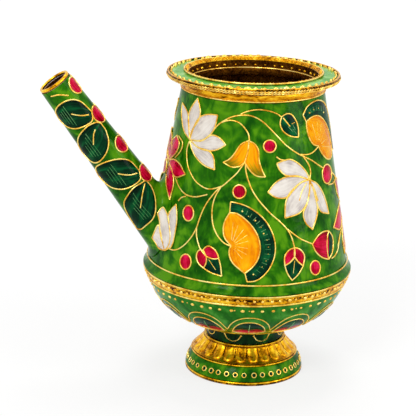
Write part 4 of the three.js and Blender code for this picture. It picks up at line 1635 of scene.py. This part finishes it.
# %% Buds
LEFT_FORK = (206.2, 256.0)
LEFT_BUD_EDGES = ([LEFT_FORK, (206.8, 259.6), (205.8, 264.2), (203.6, 268.0)],
                  [LEFT_FORK, (209.4, 257.8), (214.0, 259.0), (218.8, 258.4)])
front.cell("crimson", [LEFT_FORK, (203.4, 250.4), (199.0, 250.2), (196.6, 256.0), (198.6, 263.2),
                       (203.6, 268.0)], LEFT_BUD_EDGES[0])
front.cell("crimson", [LEFT_FORK, (203.4, 250.0), (208.2, 246.0), (214.2, 248.9), (217.6, 254.0),
                       (218.8, 258.4)], LEFT_BUD_EDGES[1])
front.cell("deep", LEFT_BUD_EDGES[0] + [(203.6, 268.0), (211.0, 272.6), (221.7, 276.2)],
           LEFT_BUD_EDGES[1] + [(218.8, 258.4), (220.6, 266.0), (221.7, 276.2)])
front.hairline((209.0, 259.4), (212.4, 264.6), (216.0, 269.8))

STALK_END = (294.4, 247.6)
RIGHT_BUD_EDGES = ([(294.4, 256.8), (289.8, 262.4), (284.6, 265.6)],
                   [(294.4, 256.8), (298.0, 261.8), (303.0, 266.0)])
front.cell("crimson", [STALK_END, (289.2, 249.8), (284.6, 256.4), (284.6, 265.6)],
           [STALK_END] + RIGHT_BUD_EDGES[0])
front.cell("crimson", [STALK_END, (299.6, 249.2), (304.2, 255.4), (303.0, 266.0)],
           [STALK_END] + RIGHT_BUD_EDGES[1])
front.cell("deep", RIGHT_BUD_EDGES[0] + [(284.6, 265.6), (287.4, 273.8), (291.9, 280.4)],
           RIGHT_BUD_EDGES[1] + [(303.0, 266.0), (298.0, 274.4), (291.9, 280.4)])
front.hairline((294.3, 260.6), (293.6, 267.0), (292.9, 273.2))

BUD_TIP = (312.0, 244.3)
BUD_MOUTH = [(328.2, 230.7), (326.9, 237.0), (326.4, 244.6), (327.0, 252.0), (328.3, 259.4)]
front.cell("crimson", [BUD_TIP, (317.9, 235.5), (323.0, 231.7), (328.2, 230.7)] + BUD_MOUTH[:3],
           [BUD_TIP, (315.7, 252.0), (321.6, 257.3), (328.3, 259.4)] + BUD_MOUTH[:1:-1])
front.cell("deep", BUD_MOUTH, [(328.2, 230.7), (331.8, 236.0), (332.8, 243.4), (331.8, 252.6),
                               (328.3, 259.4)])
print("cells drawn:", len(front.cells))

# %% Leaf and berries
leaf = front.cell(
    "deep", [(281.5, 116.8), (285.8, 113.9), (291.0, 114.3), (295.6, 120.4), (298.0, 128.4), (298.2, 137.1)],
    [(281.5, 116.8), (279.9, 123.7), (282.2, 130.2), (287.6, 135.0), (293.0, 136.8), (298.2, 137.1)],
)
front.vine((282.9, 118.0), (289.6, 126.4))
front.hairline((291.2, 123.9), (294.2, 122.4))
leaf.strokes += [((0.3, 0.5), (0.36, 0.72)), ((0.62, 0.46), (0.6, 0.7)), ((0.48, 0.62), (0.48, 0.86))]

BERRIES = [  # centre and half sizes
    ((269.7, 146.2), 6.3, 6.3), ((239.4, 191.6), 6.5, 6.8), ((188.6, 213.1), 5.3, 7.8),
    ((185.8, 261.7), 5.6, 7.7), ((315.0, 267.7), 5.0, 7.1), ((326.6, 173.9), 4.6, 9.6),
]
for centre, half_width, half_height in BERRIES:
    front.oval("crimson", centre, half_width, half_height)
front.vine((331.6, 172.0), (334.8, 177.7), (332.2, 183.4), (327.6, 184.6))
print("cells drawn:", len(front.cells))

# %% [markdown]
# The picture shows only the near part of a second seed head and of a crimson flower, so they are named in
# degrees round the pot and run on round the side. The flower's heart lies straight opposite the spout, where
# the two halves of the drawing meet.

# %% Shapes that run out of sight
edge_drawing = Drawing(wall_face, by_degrees)
SEED_EDGE = [(30.4, 82.1), (36.5, 83.7), (44.4, 83.7), (51.0, 81.7), (57.8, 77.7), (63.3, 72.4), (65.8, 67.1),
             (65.8, 62.8)]
far_crescent = edge_drawing.cell(
    "deep", [(27.6, 85.6), (32.0, 89.1), (38.9, 91.0), (48.5, 91.2), (59.1, 88.7), (68.0, 83.6), (74.4, 76.6),
             (77.4, 68.4), (77.4, 60.6)], SEED_EDGE, dome=0.42,
)
edge_drawing.cell(
    "marigold", SEED_EDGE + [(62.8, 60.0), (57.6, 59.0)],
    [(30.4, 82.1), (30.7, 77.2), (32.8, 72.7), (36.4, 69.6), (41.7, 68.3), (41.7, 68.3), (43.7, 65.5),
     (47.1, 62.5), (51.8, 60.0), (57.6, 59.0)], dome=0.5,
)
add_strokes(far_crescent, 13, 0.78)
edge_drawing.vine((27.6, 85.6), (30.4, 82.1))
edge_drawing.vine((77.4, 60.6), (65.8, 62.8))
FAR_HEART = (90.0, 29.5)
FAR_PETALS = [  # tip, and places down both edges
    ((50.3, 23.6), [(80.0, 31.8), (70.0, 32.4), (60.0, 29.8)], [(80.0, 25.6), (72.0, 22.0), (61.0, 20.2)]),
    ((62.5, 46.0), [(82.0, 33.0), (72.0, 34.6), (65.4, 39.0)], [(85.0, 38.0), (77.0, 44.0), (69.5, 46.6)]),
    ((66.0, 5.6), [(83.0, 25.0), (69.0, 20.0), (65.0, 12.0)], [(86.0, 20.0), (77.0, 10.0)]),
]
for tip, *edges in FAR_PETALS:
    edge_drawing.petal("crimson", FAR_HEART, tip, *edges)
print("cells named in degrees:", len(edge_drawing.cells))

# %% Vines
VINES = [
    [(240.8, 114.1), (248.0, 111.2), (258.5, 109.6), (268.1, 110.8), (276.7, 113.7), (281.3, 117.0)],
    [(210.7, 134.5), (218.0, 125.2), (227.9, 118.6), (234.6, 116.2), (244.1, 115.1), (251.8, 116.0),
     (259.4, 119.4), (266.1, 124.7), (276.7, 135.7), (284.8, 144.3), (292.0, 150.0), (299.6, 154.8),
     (304.1, 156.8), (311.3, 160.3), (317.5, 164.6), (322.3, 167.7)],
    [(220.5, 122.9), (226.0, 121.0), (232.2, 120.4), (239.4, 122.8), (245.1, 128.5), (248.4, 134.2),
     (249.4, 140.5)],
    [(299.8, 154.4), (306.5, 154.6), (311.8, 152.7), (315.6, 149.3), (318.0, 146.5)],
    [(303.2, 157.0), (306.0, 160.8), (308.8, 165.7), (310.2, 172.0), (309.6, 178.0)],
    [(276.2, 156.7), (280.0, 159.4), (285.5, 160.4)],
    [(243.8, 164.0), (237.0, 173.1), (229.8, 179.8), (223.6, 185.2), (218.4, 188.9), (211.7, 196.4),
     (207.0, 203.0), (203.1, 210.2), (199.7, 218.9), (196.6, 228.0), (192.0, 236.4), (186.0, 243.6),
     (179.6, 248.4), (174.0, 250.0), (168.8, 248.4)],
    [(189.4, 141.4), (187.2, 149.5), (187.2, 158.8), (188.2, 166.2), (191.1, 173.4), (195.4, 180.6),
     (202.1, 186.3), (208.4, 188.9), (215.0, 188.4), (221.6, 186.2)],
    [(221.0, 187.2), (217.0, 193.5), (213.9, 200.7), (212.4, 208.6), (212.2, 217.4), (213.5, 226.2),
     (217.5, 235.3), (224.1, 242.9), (231.1, 246.3)],
    [(196.8, 228.4), (196.8, 236.2), (198.5, 243.5), (200.8, 249.4), (206.2, 256.2)],
    [(175.8, 178.2), (178.6, 185.4), (183.0, 191.9), (188.7, 195.6), (195.9, 196.8), (203.1, 195.6),
     (207.8, 194.4)],
    [(178.7, 200.7), (181.6, 197.6), (186.4, 196.2)],
    [(245.4, 164.4), (246.1, 172.2), (248.4, 180.9), (252.3, 190.4), (258.0, 199.4), (265.7, 208.5),
     (272.8, 215.7), (279.1, 221.0), (287.0, 229.4), (291.4, 237.4), (294.2, 247.0)],
    [(287.0, 229.0), (294.0, 234.4), (301.0, 239.2), (312.0, 243.9)],
    [(340.8, 229.6), (338.6, 239.8), (337.4, 249.5), (334.6, 255.6), (331.0, 258.6)],
]
for points in VINES:
    front.vine(*points)
print("wall drawing:", len(front.cells), "cells and", len(front.fences), "fences")

# %% Laying the wall drawing
laid("wall", [front, front.mirrored(), edge_drawing, edge_drawing.mirrored()])

# %% [markdown]
# ## Flowers beside the spout
#
# A white tulip and a crimson flower stand where the spout's root spreads over the wall, and run over both.
# Here the sight lines through the drawing's pixels are met with the real skin of the two pieces, so the
# petals bend over the seam as the maker's do.

# %% White tulip and crimson flower
beside = Drawing(root_skin)
TULIP_BASE = (165.2, 250.4)
TULIP_SEAM = [(169.0, 245.5), (170.6, 236.5), (169.6, 226.0)]
TULIP_PETALS = [  # tip, and places up both edges
    ((176.4, 204.1), TULIP_SEAM + [(168.3, 216.0), (171.0, 210.0)],
     [(171.6, 246.4), (175.0, 234.0), (177.2, 218.5)]),
    ((157.4, 213.2), [(163.0, 243.6), (160.2, 231.5), (159.6, 221.0)],
     TULIP_SEAM + [(167.6, 214.6), (162.7, 207.2)]),
    ((152.3, 237.6), [(159.2, 248.2), (156.0, 243.0)], [(163.0, 243.6), (160.9, 231.4), (158.0, 224.6)]),
]
for tip, *edges in TULIP_PETALS:
    beside.petal("white", TULIP_BASE, tip, *edges)

CRIMSON_HEART = (169.4, 160.0)
beside.petal("crimson", CRIMSON_HEART, (177.4, 135.2), [(169.2, 150.0), (172.6, 140.6)],
            [(176.0, 153.5), (179.6, 144.0)])
beside.vine((179.2, 136.0), (182.9, 142.6), (181.4, 150.0), (175.6, 157.6))
beside.petal("crimson", CRIMSON_HEART, (185.6, 174.4), [(174.5, 159.4), (180.2, 164.2), (183.6, 170.6)],
            [(171.6, 169.0), (176.0, 177.2)])
beside.petal("crimson", (169.6, 163.6), (169.8, 199.7), [(167.0, 172.0), (166.4, 184.0)],
            [(172.4, 170.0), (173.9, 183.5)])
laid("beside", [beside, beside.mirrored()])

# %% [markdown]
# ## Leaves on the spout
#
# Four dark leaves lie on the spout in two pairs, each pair springing from a red berry on the top line. There
# is another berry between the pairs, and one near the tip. A leaf wraps right round the side to the
# underside, where only its outer half would show in a picture, so these are named by degrees round the spout
# from its top line and millimetres up it. The other side of the spout has the same leaves, mirrored.

# %% Hatching
HATCHES = 4
HATCH_PITCH = 8.5  # degrees
HATCH_START, HATCH_END = 0.12, 0.9  # shares across the leaf


def share_at(rail, angle):
    """How far along a rail it comes to an angle round the face."""
    for i in range(CELL_LONG):
        if (rail[i].x - angle) * (rail[i + 1].x - angle) <= 0 and rail[i].x != rail[i + 1].x:
            return (i + (angle - rail[i].x) / (rail[i + 1].x - rail[i].x)) / CELL_LONG
    return 1.0


def hatched(leaf, first):
    """Parallel pale strokes up the spout, over the outer half of a leaf."""
    for i in range(HATCHES):
        angle = math.radians(first - HATCH_PITCH * i)
        near, far = [share_at(rail, angle) for rail in leaf.rails]
        start, end = HATCH_START + 0.07 * i, HATCH_END - 0.05 * i
        leaf.strokes.append(((start, near + (far - near) * start), (end, near + (far - near) * end)))


print("strokes on a leaf:", HATCHES)

# %% Leaves and berries
leaves = Drawing(spout_face, by_degrees)
LEAVES = [  # angle of the first hatch, base, tip, and places down both edges
    (-114, (-49, 70.2), (-174, 76.0),
     [(-56, 77.2), (-72, 81.2), (-92, 83.0), (-115, 83.4), (-140, 82.2), (-160, 79.8)],
     [(-64, 66.9), (-88, 66.8), (-109, 67.5), (-124, 68.3), (-142, 69.9), (-159, 72.2)]),
    (-107, (-49, 62.6), (-174, 54.0),
     [(-59, 64.5), (-75, 65.6), (-90, 66.0), (-119, 64.8), (-142, 62.4), (-160, 58.8)],
     [(-50, 58.4), (-55, 56.3), (-63, 53.4), (-81, 50.1), (-101, 48.1), (-125, 46.9), (-143, 47.4),
      (-160, 49.8)]),
    (-101, (-46, 29.6), (-175, 38.6),
     [(-48, 35.8), (-59, 39.7), (-83, 43.3), (-110, 45.1), (-136, 45.2), (-154, 43.8)],
     [(-59, 26.6), (-80, 26.3), (-105, 27.2), (-126, 29.0), (-150, 32.3)]),
    (-95, (-48, 23.4), (-160, 3.6), [(-57, 24.2), (-88, 25.3), (-113, 23.7), (-142, 19.6), (-156, 12.6)],
     [(-47, 19.5), (-60, 13.3), (-90, 6.4), (-124, 4.2), (-144, 3.2)]),
]
for first_hatch, base, tip, *edges in LEAVES:
    hatched(leaves.petal("leaf", base, tip, *edges), first_hatch)
LEAF_VINES = [
    [(-64, 70.2), (-84, 72.4), (-106, 76.1)],
    [(-76, 62.2), (-90, 60.4), (-107, 56.3)],
    [(-57, 29.9), (-78, 32.2), (-100, 36.4)],
    [(-58, 23.0), (-80, 19.8), (-106, 14.3)],
    [(-128, 89.2), (-102, 87.9), (-78, 84.6)],
]
for points in LEAF_VINES:
    leaves.vine(*points)
SPOUT_BERRIES = [(-30, 85.8, 27.0, 4.7), (-29, 66.5, 28.0, 4.9), (-33, 46.6, 26.0, 4.5),
                 (-29, 26.2, 26.0, 4.7)]
for degrees, run, half_degrees, half_length in SPOUT_BERRIES:
    leaves.oval("crimson", (degrees, run), half_degrees, half_length)
laid("spout", [leaves, leaves.mirrored()])

# %% [markdown]
# ## Rows round the axis
#
# Grains, bosses, petals, rings and arches all stand in rows round the pot. The maker punches or solders one
# after the other, so they are evenly spaced, but not quite, and no two are the same size. One modelling tree
# makes every row: it takes one motif, built where it stands at the front, turns a copy of it to each place,
# moves each a little along the row, and scales each one about its own middle. The strays come from a seed.


# %% The tree that sets a row
def row_tree():
    tree, nodes, given = new_tree("round_row", {
        "Count": ("Int", 12),
        "First Angle": ("Float", 0.0),
        "Stray": ("Float", 0.0),
        "Size Stray": ("Float", 0.0),
        "Seed": ("Int", 1),
        "Material": ("Material", None),
    })
    index = nodes.add("GeometryNodeInputIndex")
    stray = nodes.add("FunctionNodeRandomValue", {"data_type": "FLOAT"}, {
        "Min": -0.5, "Max": 0.5, "ID": index, "Seed": given["Seed"],
    })
    turn = (index + stray * given["Stray"]) * (2 * math.pi) / given["Count"] + given["First Angle"]
    rotation = nodes.add("FunctionNodeEulerToRotation", inputs={
        "Euler": nodes.add("ShaderNodeCombineXYZ", inputs={"Z": turn}),
    })
    points = nodes.add("GeometryNodePoints", inputs={"Count": given["Count"]})
    row = nodes.add("GeometryNodeInstanceOnPoints", inputs={
        "Points": points, "Instance": given["Geometry"], "Rotation": rotation,
    })
    row = nodes.add("GeometryNodeRealizeInstances", inputs={"Geometry": row})
    island = nodes.add("GeometryNodeInputMeshIsland", output="Island Index")
    size = nodes.add("FunctionNodeRandomValue", {"data_type": "FLOAT"}, {
        "Min": 1.0 - given["Size Stray"], "Max": given["Size Stray"] + 1.0, "ID": island,
        "Seed": given["Seed"],
    })
    row = nodes.add("GeometryNodeScaleElements", {"domain": "FACE"}, {"Geometry": row, "Scale": size})
    end_tree(nodes, row, given["Material"])
    return tree


round_row = row_tree()


def row_of(name, motif, count, material, slot, replaced=(), first=0.0, stray=0.0, size_stray=0.0, seed=1):
    """A row of copies of a motif, an object that the row takes the place of."""
    mesh = motif.data
    bpy.data.objects.remove(motif)
    row = grown(name, round_row, mesh, {
        "Count": count, "First Angle": math.radians(first), "Stray": stray, "Size Stray": size_stray,
        "Seed": seed, "Material": material,
    })
    fitted(mended(row, math.radians(50)), slot, *replaced)
    print(name, "copies:", count, "faces:", len(row.data.polygons))
    return row


def grains(name, face, run, count, size, material=bright_gilt, slot="gilding", **more):
    """A row of grains on a face, with half sizes round it and up it, and a height."""
    motif = Pads()
    motif.grain(face, 0.0, run, *size)
    return row_of(name, motif.loose(name, material), count, material, slot, **more)


print("tree:", round_row.name)

# %% [markdown]
# ## The rim's edge
#
# Along the outer edge of the rim lies a row of irregular gilt drops. Below it the edge slopes in, and on the
# slope lie two twisted ropes of fine wire. A rope is two strands that wind round the same circle, so a small
# tree makes it: it moves the points of a circle out and up by the cosine and sine of a turning angle, once
# for each strand, and draws a wire along each.

# %% Drops on the rim
rim_top_face = TurnedFace([(plate_radius, plate_top - RIM_FALL), (rim_bore, plate_top)])
DROP_RUN, SMALL_DROP_RUN = 0.85, 0.6  # in from the edge
DROPS = 56
grains("rim_drops", rim_top_face, DROP_RUN, DROPS, (1.4, 0.66, 1.25), wire_gilt, replaced=("rim_bead_row",),
       first=1.7, stray=0.35, size_stray=0.2, seed=5)
grains("rim_small_drops", rim_top_face, SMALL_DROP_RUN, DROPS // 2, (0.6, 0.5, 0.9), wire_gilt, first=5.0,
       stray=0.5, size_stray=0.4, seed=9)

# %% The tree that twists a rope
POINTS_IN_TWIST = 8


def rope_tree():
    tree, nodes, given = new_tree("twisted_rope", {
        "Ring Radius": ("Float", 0.045),
        "Height": ("Float", 0.16),
        "Strand Radius": ("Float", 0.00024),
        "Twists": ("Int", 100),
        "Material": ("Material", None),
    })
    circle_sizes = {"Resolution": given["Twists"] * POINTS_IN_TWIST, "Radius": given["Ring Radius"]}
    circle = nodes.add("GeometryNodeCurvePrimitiveCircle", inputs=circle_sizes)
    section_sizes = {"Resolution": 5, "Radius": given["Strand Radius"]}
    section = nodes.add("GeometryNodeCurvePrimitiveCircle", inputs=section_sizes)
    place = nodes.add("GeometryNodeInputPosition")
    outward = nodes.add("ShaderNodeVectorMath", {"operation": "NORMALIZE"}, {0: place})
    both = tree.nodes.new("GeometryNodeJoinGeometry")
    for phase in (0.0, math.pi):
        turn = nodes.add("GeometryNodeInputIndex") * (2 * math.pi / POINTS_IN_TWIST) + phase
        reach = given["Ring Radius"] + given["Strand Radius"] * nodes.math("COSINE", turn)
        out = nodes.add("ShaderNodeVectorMath", {"operation": "SCALE"}, {0: outward, "Scale": reach})
        height = given["Height"] + given["Strand Radius"] * nodes.math("SINE", turn)
        up_by = nodes.add("ShaderNodeCombineXYZ", inputs={"Z": height})
        moved = nodes.add("ShaderNodeVectorMath", {"operation": "ADD"}, {0: out, 1: up_by})
        strand = nodes.add("GeometryNodeSetPosition", inputs={"Geometry": circle, "Position": moved})
        wire = nodes.add("GeometryNodeCurveToMesh", inputs={"Curve": strand, "Profile Curve": section})
        tree.links.new(wire.socket, both.inputs[0])
    end_tree(nodes, Signal(nodes, both.outputs[0]), given["Material"])
    return tree


twisted_rope = rope_tree()
print("tree:", twisted_rope.name)

# %% Ropes on the edge
ROPE_STRAND = 0.3
ROPE_LIFT = 0.1
ROPE_TWISTS = 78
edge_face = TurnedFace(edge_slope)
ROPE_RUNS = (0.45, 1.6)
for number, run in enumerate(ROPE_RUNS):
    place = edge_face.place(0.0, run, ROPE_LIFT)
    rope = grown(f"rim_rope_{number + 1}", twisted_rope, bpy.data.meshes.new("no_section"), {
        "Ring Radius": -place.y * MM, "Height": place.z * MM, "Strand Radius": ROPE_STRAND * MM,
        "Twists": ROPE_TWISTS, "Material": wire_gilt,
    })
    fitted(mended(rope, math.radians(70)), "gilding")
    print(rope.name, "faces:", len(rope.data.polygons))

# %% [markdown]
# ## Inside the mouth
#
# The lip is granulated: three rows of fine grains lie on its slope. Below it a row of small bosses runs
# round the lining. Both faces look inwards, so they are named from the top down, which turns the grains in.

# %% Grains and bosses of the mouth
lip_face = TurnedFace([(lip_radius, lining_top), (mouth_radius, plate_top - LIP_DROP)])
LIP_GRAINS = 132
LIP_GRAIN_RUNS = (0.35, 1.0, 1.65)  # down the lip's slope
for number, run in enumerate(LIP_GRAIN_RUNS):
    grains(f"lip_grains_{number + 1}", lip_face, run, LIP_GRAINS, (0.5, 0.3, 0.3), first=1.3 * number,
           stray=0.6, size_stray=0.3, seed=21 + number)
lining_face = TurnedFace([(mouth_radius, plate_top - LIP_DROP), (mouth_radius, lining_foot)])
LINING_BOSSES = 40
grains("lining_bosses", lining_face, 2.6, LINING_BOSSES, (0.75, 0.6, 0.5), first=4.0, stray=0.3,
       size_stray=0.25, seed=31)

# %% [markdown]
# ## The belt
#
# The waist band is gilt, with a shallow channel along its middle that is painted dark as shade, and a row of
# bosses beaten up in it. Fine grains and bright patches of gold break the channel up, so it shows only here
# and there.

# %% Channel and bosses
belt_run = math.hypot(waist_section[2][0] - waist_section[1][0], waist_top - waist_foot)
belt_face = TurnedFace(waist_section[1:3])
BELT_MIDDLE = 0.5 * belt_run


STRIP_SIDES = 180
STRIP_STEPS = 6


def strip(name, face, low, high, lift, material, slot):
    """A thin ring that lies on a face between two runs."""
    runs = [low + (high - low) * i / STRIP_STEPS for i in range(STRIP_STEPS + 1)]
    corners = [face.place(0.0, run, lift) for run in runs]
    corners += [face.place(0.0, run, -0.1) for run in runs[::-1]]
    return turned(name, [(-p.y, p.z) for p in corners], material, slot, sides=STRIP_SIDES)


# Painted shade: the channel is a thin strip of the painted-shade gilding laid on the band.
strip("belt_channel", belt_face, BELT_MIDDLE - 0.15, BELT_MIDDLE + 1.35, 0.03, shade_gilt, "dull_gilding")
BELT_BOSSES = 76
grains("belt_bosses", belt_face, BELT_MIDDLE + 0.1, BELT_BOSSES, (0.95, 0.8, 0.55), wire_gilt, first=0.8,
       stray=0.3, size_stray=0.25, seed=41)
grains("belt_grains", belt_face, BELT_MIDDLE + 0.75, 2 * BELT_BOSSES, (0.6, 0.36, 0.25), stray=0.9,
       size_stray=0.45, seed=43)
grains("belt_low_grains", belt_face, BELT_MIDDLE - 0.85, BELT_BOSSES, (0.8, 0.32, 0.16), stray=0.9,
       size_stray=0.45, seed=45)

# %% [markdown]
# ## The bowl
#
# Under the belt runs a row of gilt dots, and below it twelve scallops: an outer and an inner arch of wire,
# dark glass in the inner one with a crimson strip at its foot and one light stroke. The first scallop is
# drawn over the one that the picture shows from straight in front, and the others are turned copies of it.

# %% Dots of the bowl
FRONT_COLUMN = 249.5  # pixel column of the foot's middle


def run_seen(face, row):
    """Run up a face of what the picture shows at a pixel row, straight in front."""
    return face.seen((FRONT_COLUMN, row))[1]


BOWL_DOTS = 60
dot_run = run_seen(bowl_face, 311.6)
grains("bowl_dots", bowl_face, dot_run, BOWL_DOTS, (1.0, 0.78, 0.45), wire_gilt, first=2.4, stray=0.25,
       size_stray=0.14, seed=51)
grains("bowl_small_dots", bowl_face, dot_run + 0.2, BOWL_DOTS // 3, (0.4, 0.34, 0.25), wire_gilt, first=5.2,
       stray=1.5, size_stray=0.3, seed=53)

# %% Scallops
SCALLOPS = 12
scallop = Drawing(bowl_face)
OUTER_ARCH = [(228.0, 328.2), (230.6, 324.3), (236.0, 320.4), (242.8, 318.4), (249.2, 317.9), (256.4, 318.4),
              (263.6, 320.6), (268.4, 324.6), (269.9, 329.4)]
INNER_ARCH = [(232.6, 331.2), (234.0, 327.8), (238.0, 324.6), (243.4, 322.9), (249.2, 322.5), (255.0, 322.9),
              (260.4, 324.8), (264.0, 327.6), (264.7, 331.2)]
FOOT_CHORD = [(232.6, 331.2), (240.6, 332.4), (249.2, 332.8), (257.4, 332.5), (264.7, 331.2)]
UPPER_CHORD = [(232.6, 331.2), (240.6, 329.4), (249.2, 330.2), (257.4, 329.3), (264.7, 331.2)]
scallop.cell("deep", INNER_ARCH, UPPER_CHORD, fences=False, dome=0.2)
scallop.cell("crimson", UPPER_CHORD, FOOT_CHORD, fences=False, dome=0.15)
for line in (OUTER_ARCH, INNER_ARCH, FOOT_CHORD):
    scallop.vine(*line)
for cell in scallop.cells:
    motif = Pads()
    motif.cell(cell)
    glass, slot = CELL_SLOT[cell.colour]
    name = "scallop_" + cell.colour
    row_of(name, motif.loose(name, glass), SCALLOPS, glass, slot)
SCALLOP_WIRE = 0.3
arches = [[bowl_face.place(*p, FENCE_LIFT) for p in run] for run in scallop.fences]
arch_wires = wires_along("scallop_arch", arches, SCALLOP_WIRE, wire_gilt, 1.0)
row_of("scallop_arches", arch_wires, SCALLOPS, wire_gilt, "gilding")
LIGHT_STROKE = [(248.7, 331.6), (249.3, 328.2), (249.8, 325.0)]
stroke = [bowl_face.place(*bowl_face.seen(p), 0.34) for p in LIGHT_STROKE]
stroke_wire = wires_along("scallop_stroke", [stroke], 0.22, pale_strokes, 0.5)
row_of("scallop_strokes", stroke_wire, SCALLOPS, pale_strokes, "sea_green_enamel")
ring_run = run_seen(bowl_face, 334.0)
strip("bowl_ring", bowl_face, ring_run - 0.4, ring_run + 0.4, 0.28, bright_gilt, "gilding")

# %% [markdown]
# ## Stem, pedestal and foot
#
# On the dark stem hang eight swags of wire with a knob at each end. The pedestal is beaten up in a row of
# hanging petals, and the shade in the hollows between them is painted as a dark strip. The green foot band
# carries a row of small gilt rings, each a wire round a hollow whose shade is painted as a flat drop of dark
# glass.

# %% Swags
SWAGS = 8
SWAG_HALF = 12.9  # degrees
SWAG_FIRST = 13.6
KNOB_RUN = 4.6
stem_face = TurnedFace(stem_side)
SWAG_HANG = [(-1, KNOB_RUN), (-0.66, 2.3), (0.0, 1.3), (0.66, 2.3), (1, KNOB_RUN)]
swag_points = [(SWAG_HALF * share, run) for share, run in SWAG_HANG]
swag = [stem_face.place(*by_degrees(p), 0.1) for p in smooth(swag_points)]
swag_wire = wires_along("swag", [swag], 0.26, wire_gilt, 0.6)
row_of("stem_swags", swag_wire, SWAGS, wire_gilt, "gilding", first=SWAG_FIRST)
for side in (-1, 1):
    grains(f"stem_knobs_{side + 2}", stem_face, KNOB_RUN, SWAGS, (0.55, 0.55, 0.4), wire_gilt,
           first=SWAG_FIRST + side * SWAG_HALF)

# %% Petals of the pedestal
PEDESTAL_PETALS = 24
PETAL_HALF = 6.3  # degrees
PETAL_FIRST = -2.0
PETAL_TURN = 0.38  # share of a petal's height at which its edges turn in
PETAL_FOOT = 0.62  # share of its half width near the foot
pedestal_face = TurnedFace(pedestal_side)
petal_top = run_seen(pedestal_face, 348.6)
petal_low = run_seen(pedestal_face, 362.8)
petal_turn = petal_low + PETAL_TURN * (petal_top - petal_low)


def petal_edge(side, foot_rise):
    """Places down one edge of a hanging petal."""
    half = side * PETAL_HALF
    return [(half, petal_top), (half, petal_turn), (PETAL_FOOT * half, petal_low + foot_rise)]


left_edge, right_edge = petal_edge(-1, 0.5), petal_edge(1, 0.5)
hanging = Drawing(pedestal_face, by_degrees)
hanging.petal(
    "gold", (0.0, petal_top), (0.0, petal_low), left_edge[:1] + left_edge,
    right_edge[:1] + right_edge, fences=False, dome=0.55,
)
motif = Pads()
motif.cell(hanging.cells[0])
# Painted shade: a dark strip under the petals' upper halves darkens the hollows between them.
strip("pedestal_hollows", pedestal_face, petal_turn - 0.6, petal_top + 0.4, 0.05, shade_gilt, "dull_gilding")
petal = motif.loose("petal", petal_gilt)
row_of("pedestal_petals", petal, PEDESTAL_PETALS, petal_gilt, "gilding", first=PETAL_FIRST)
petal_outline = petal_edge(-1, 0.45) + [(0.0, petal_low)] + petal_edge(1, 0.45)[::-1]
petal_rim = [pedestal_face.place(*by_degrees(p), 0.12) for p in smooth(petal_outline)]
rim_wire = wires_along("petal_rim", [petal_rim], 0.22, bright_gilt, 0.6)
row_of("pedestal_petal_rims", rim_wire, PEDESTAL_PETALS, bright_gilt, "gilding", first=PETAL_FIRST)

# %% Rings of the foot band
FOOT_RINGS = 40
RING_RADIUS = 1.2
RING_WIRE, RING_WIRE_SIDES = 0.3, 6
RING_STEPS = 16
RING_LIFT = 0.1
RINGS_FIRST = -2.7
foot_face = TurnedFace(band_side)
rings_run = run_seen(foot_face, 375.5)


def ring_lines(face, run):
    """Lines round the section of a small ring that lies on a face."""
    lines = []
    for step in range(RING_STEPS):
        turn = 2 * math.pi * step / RING_STEPS
        line = []
        for k in range(RING_WIRE_SIDES):
            round_wire = 2 * math.pi * k / RING_WIRE_SIDES
            reach = RING_RADIUS + RING_WIRE * math.cos(round_wire)
            across, rise = reach * math.cos(turn), reach * math.sin(turn)
            lift = RING_LIFT + RING_WIRE * math.sin(round_wire)
            line.append(face.place(across / face.radius(run), run + rise, lift))
        lines.append(line)
    return lines


lines = ring_lines(foot_face, rings_run)
ring_motif = plain_piece("foot_ring", sum(lines, []), skin_through(lines), wire_gilt)
row_of("foot_rings", ring_motif, FOOT_RINGS, wire_gilt, "gilding", first=RINGS_FIRST, stray=0.2,
       size_stray=0.1, seed=61)
# Painted shade: a flat drop of dark glass fills the hollow inside each ring.
grains("foot_ring_hollow_shade", foot_face, rings_run, FOOT_RINGS, (0.9, 0.9, 0.16), deep_glass, "deep_green_enamel",
       first=RINGS_FIRST, stray=0.2, seed=61)
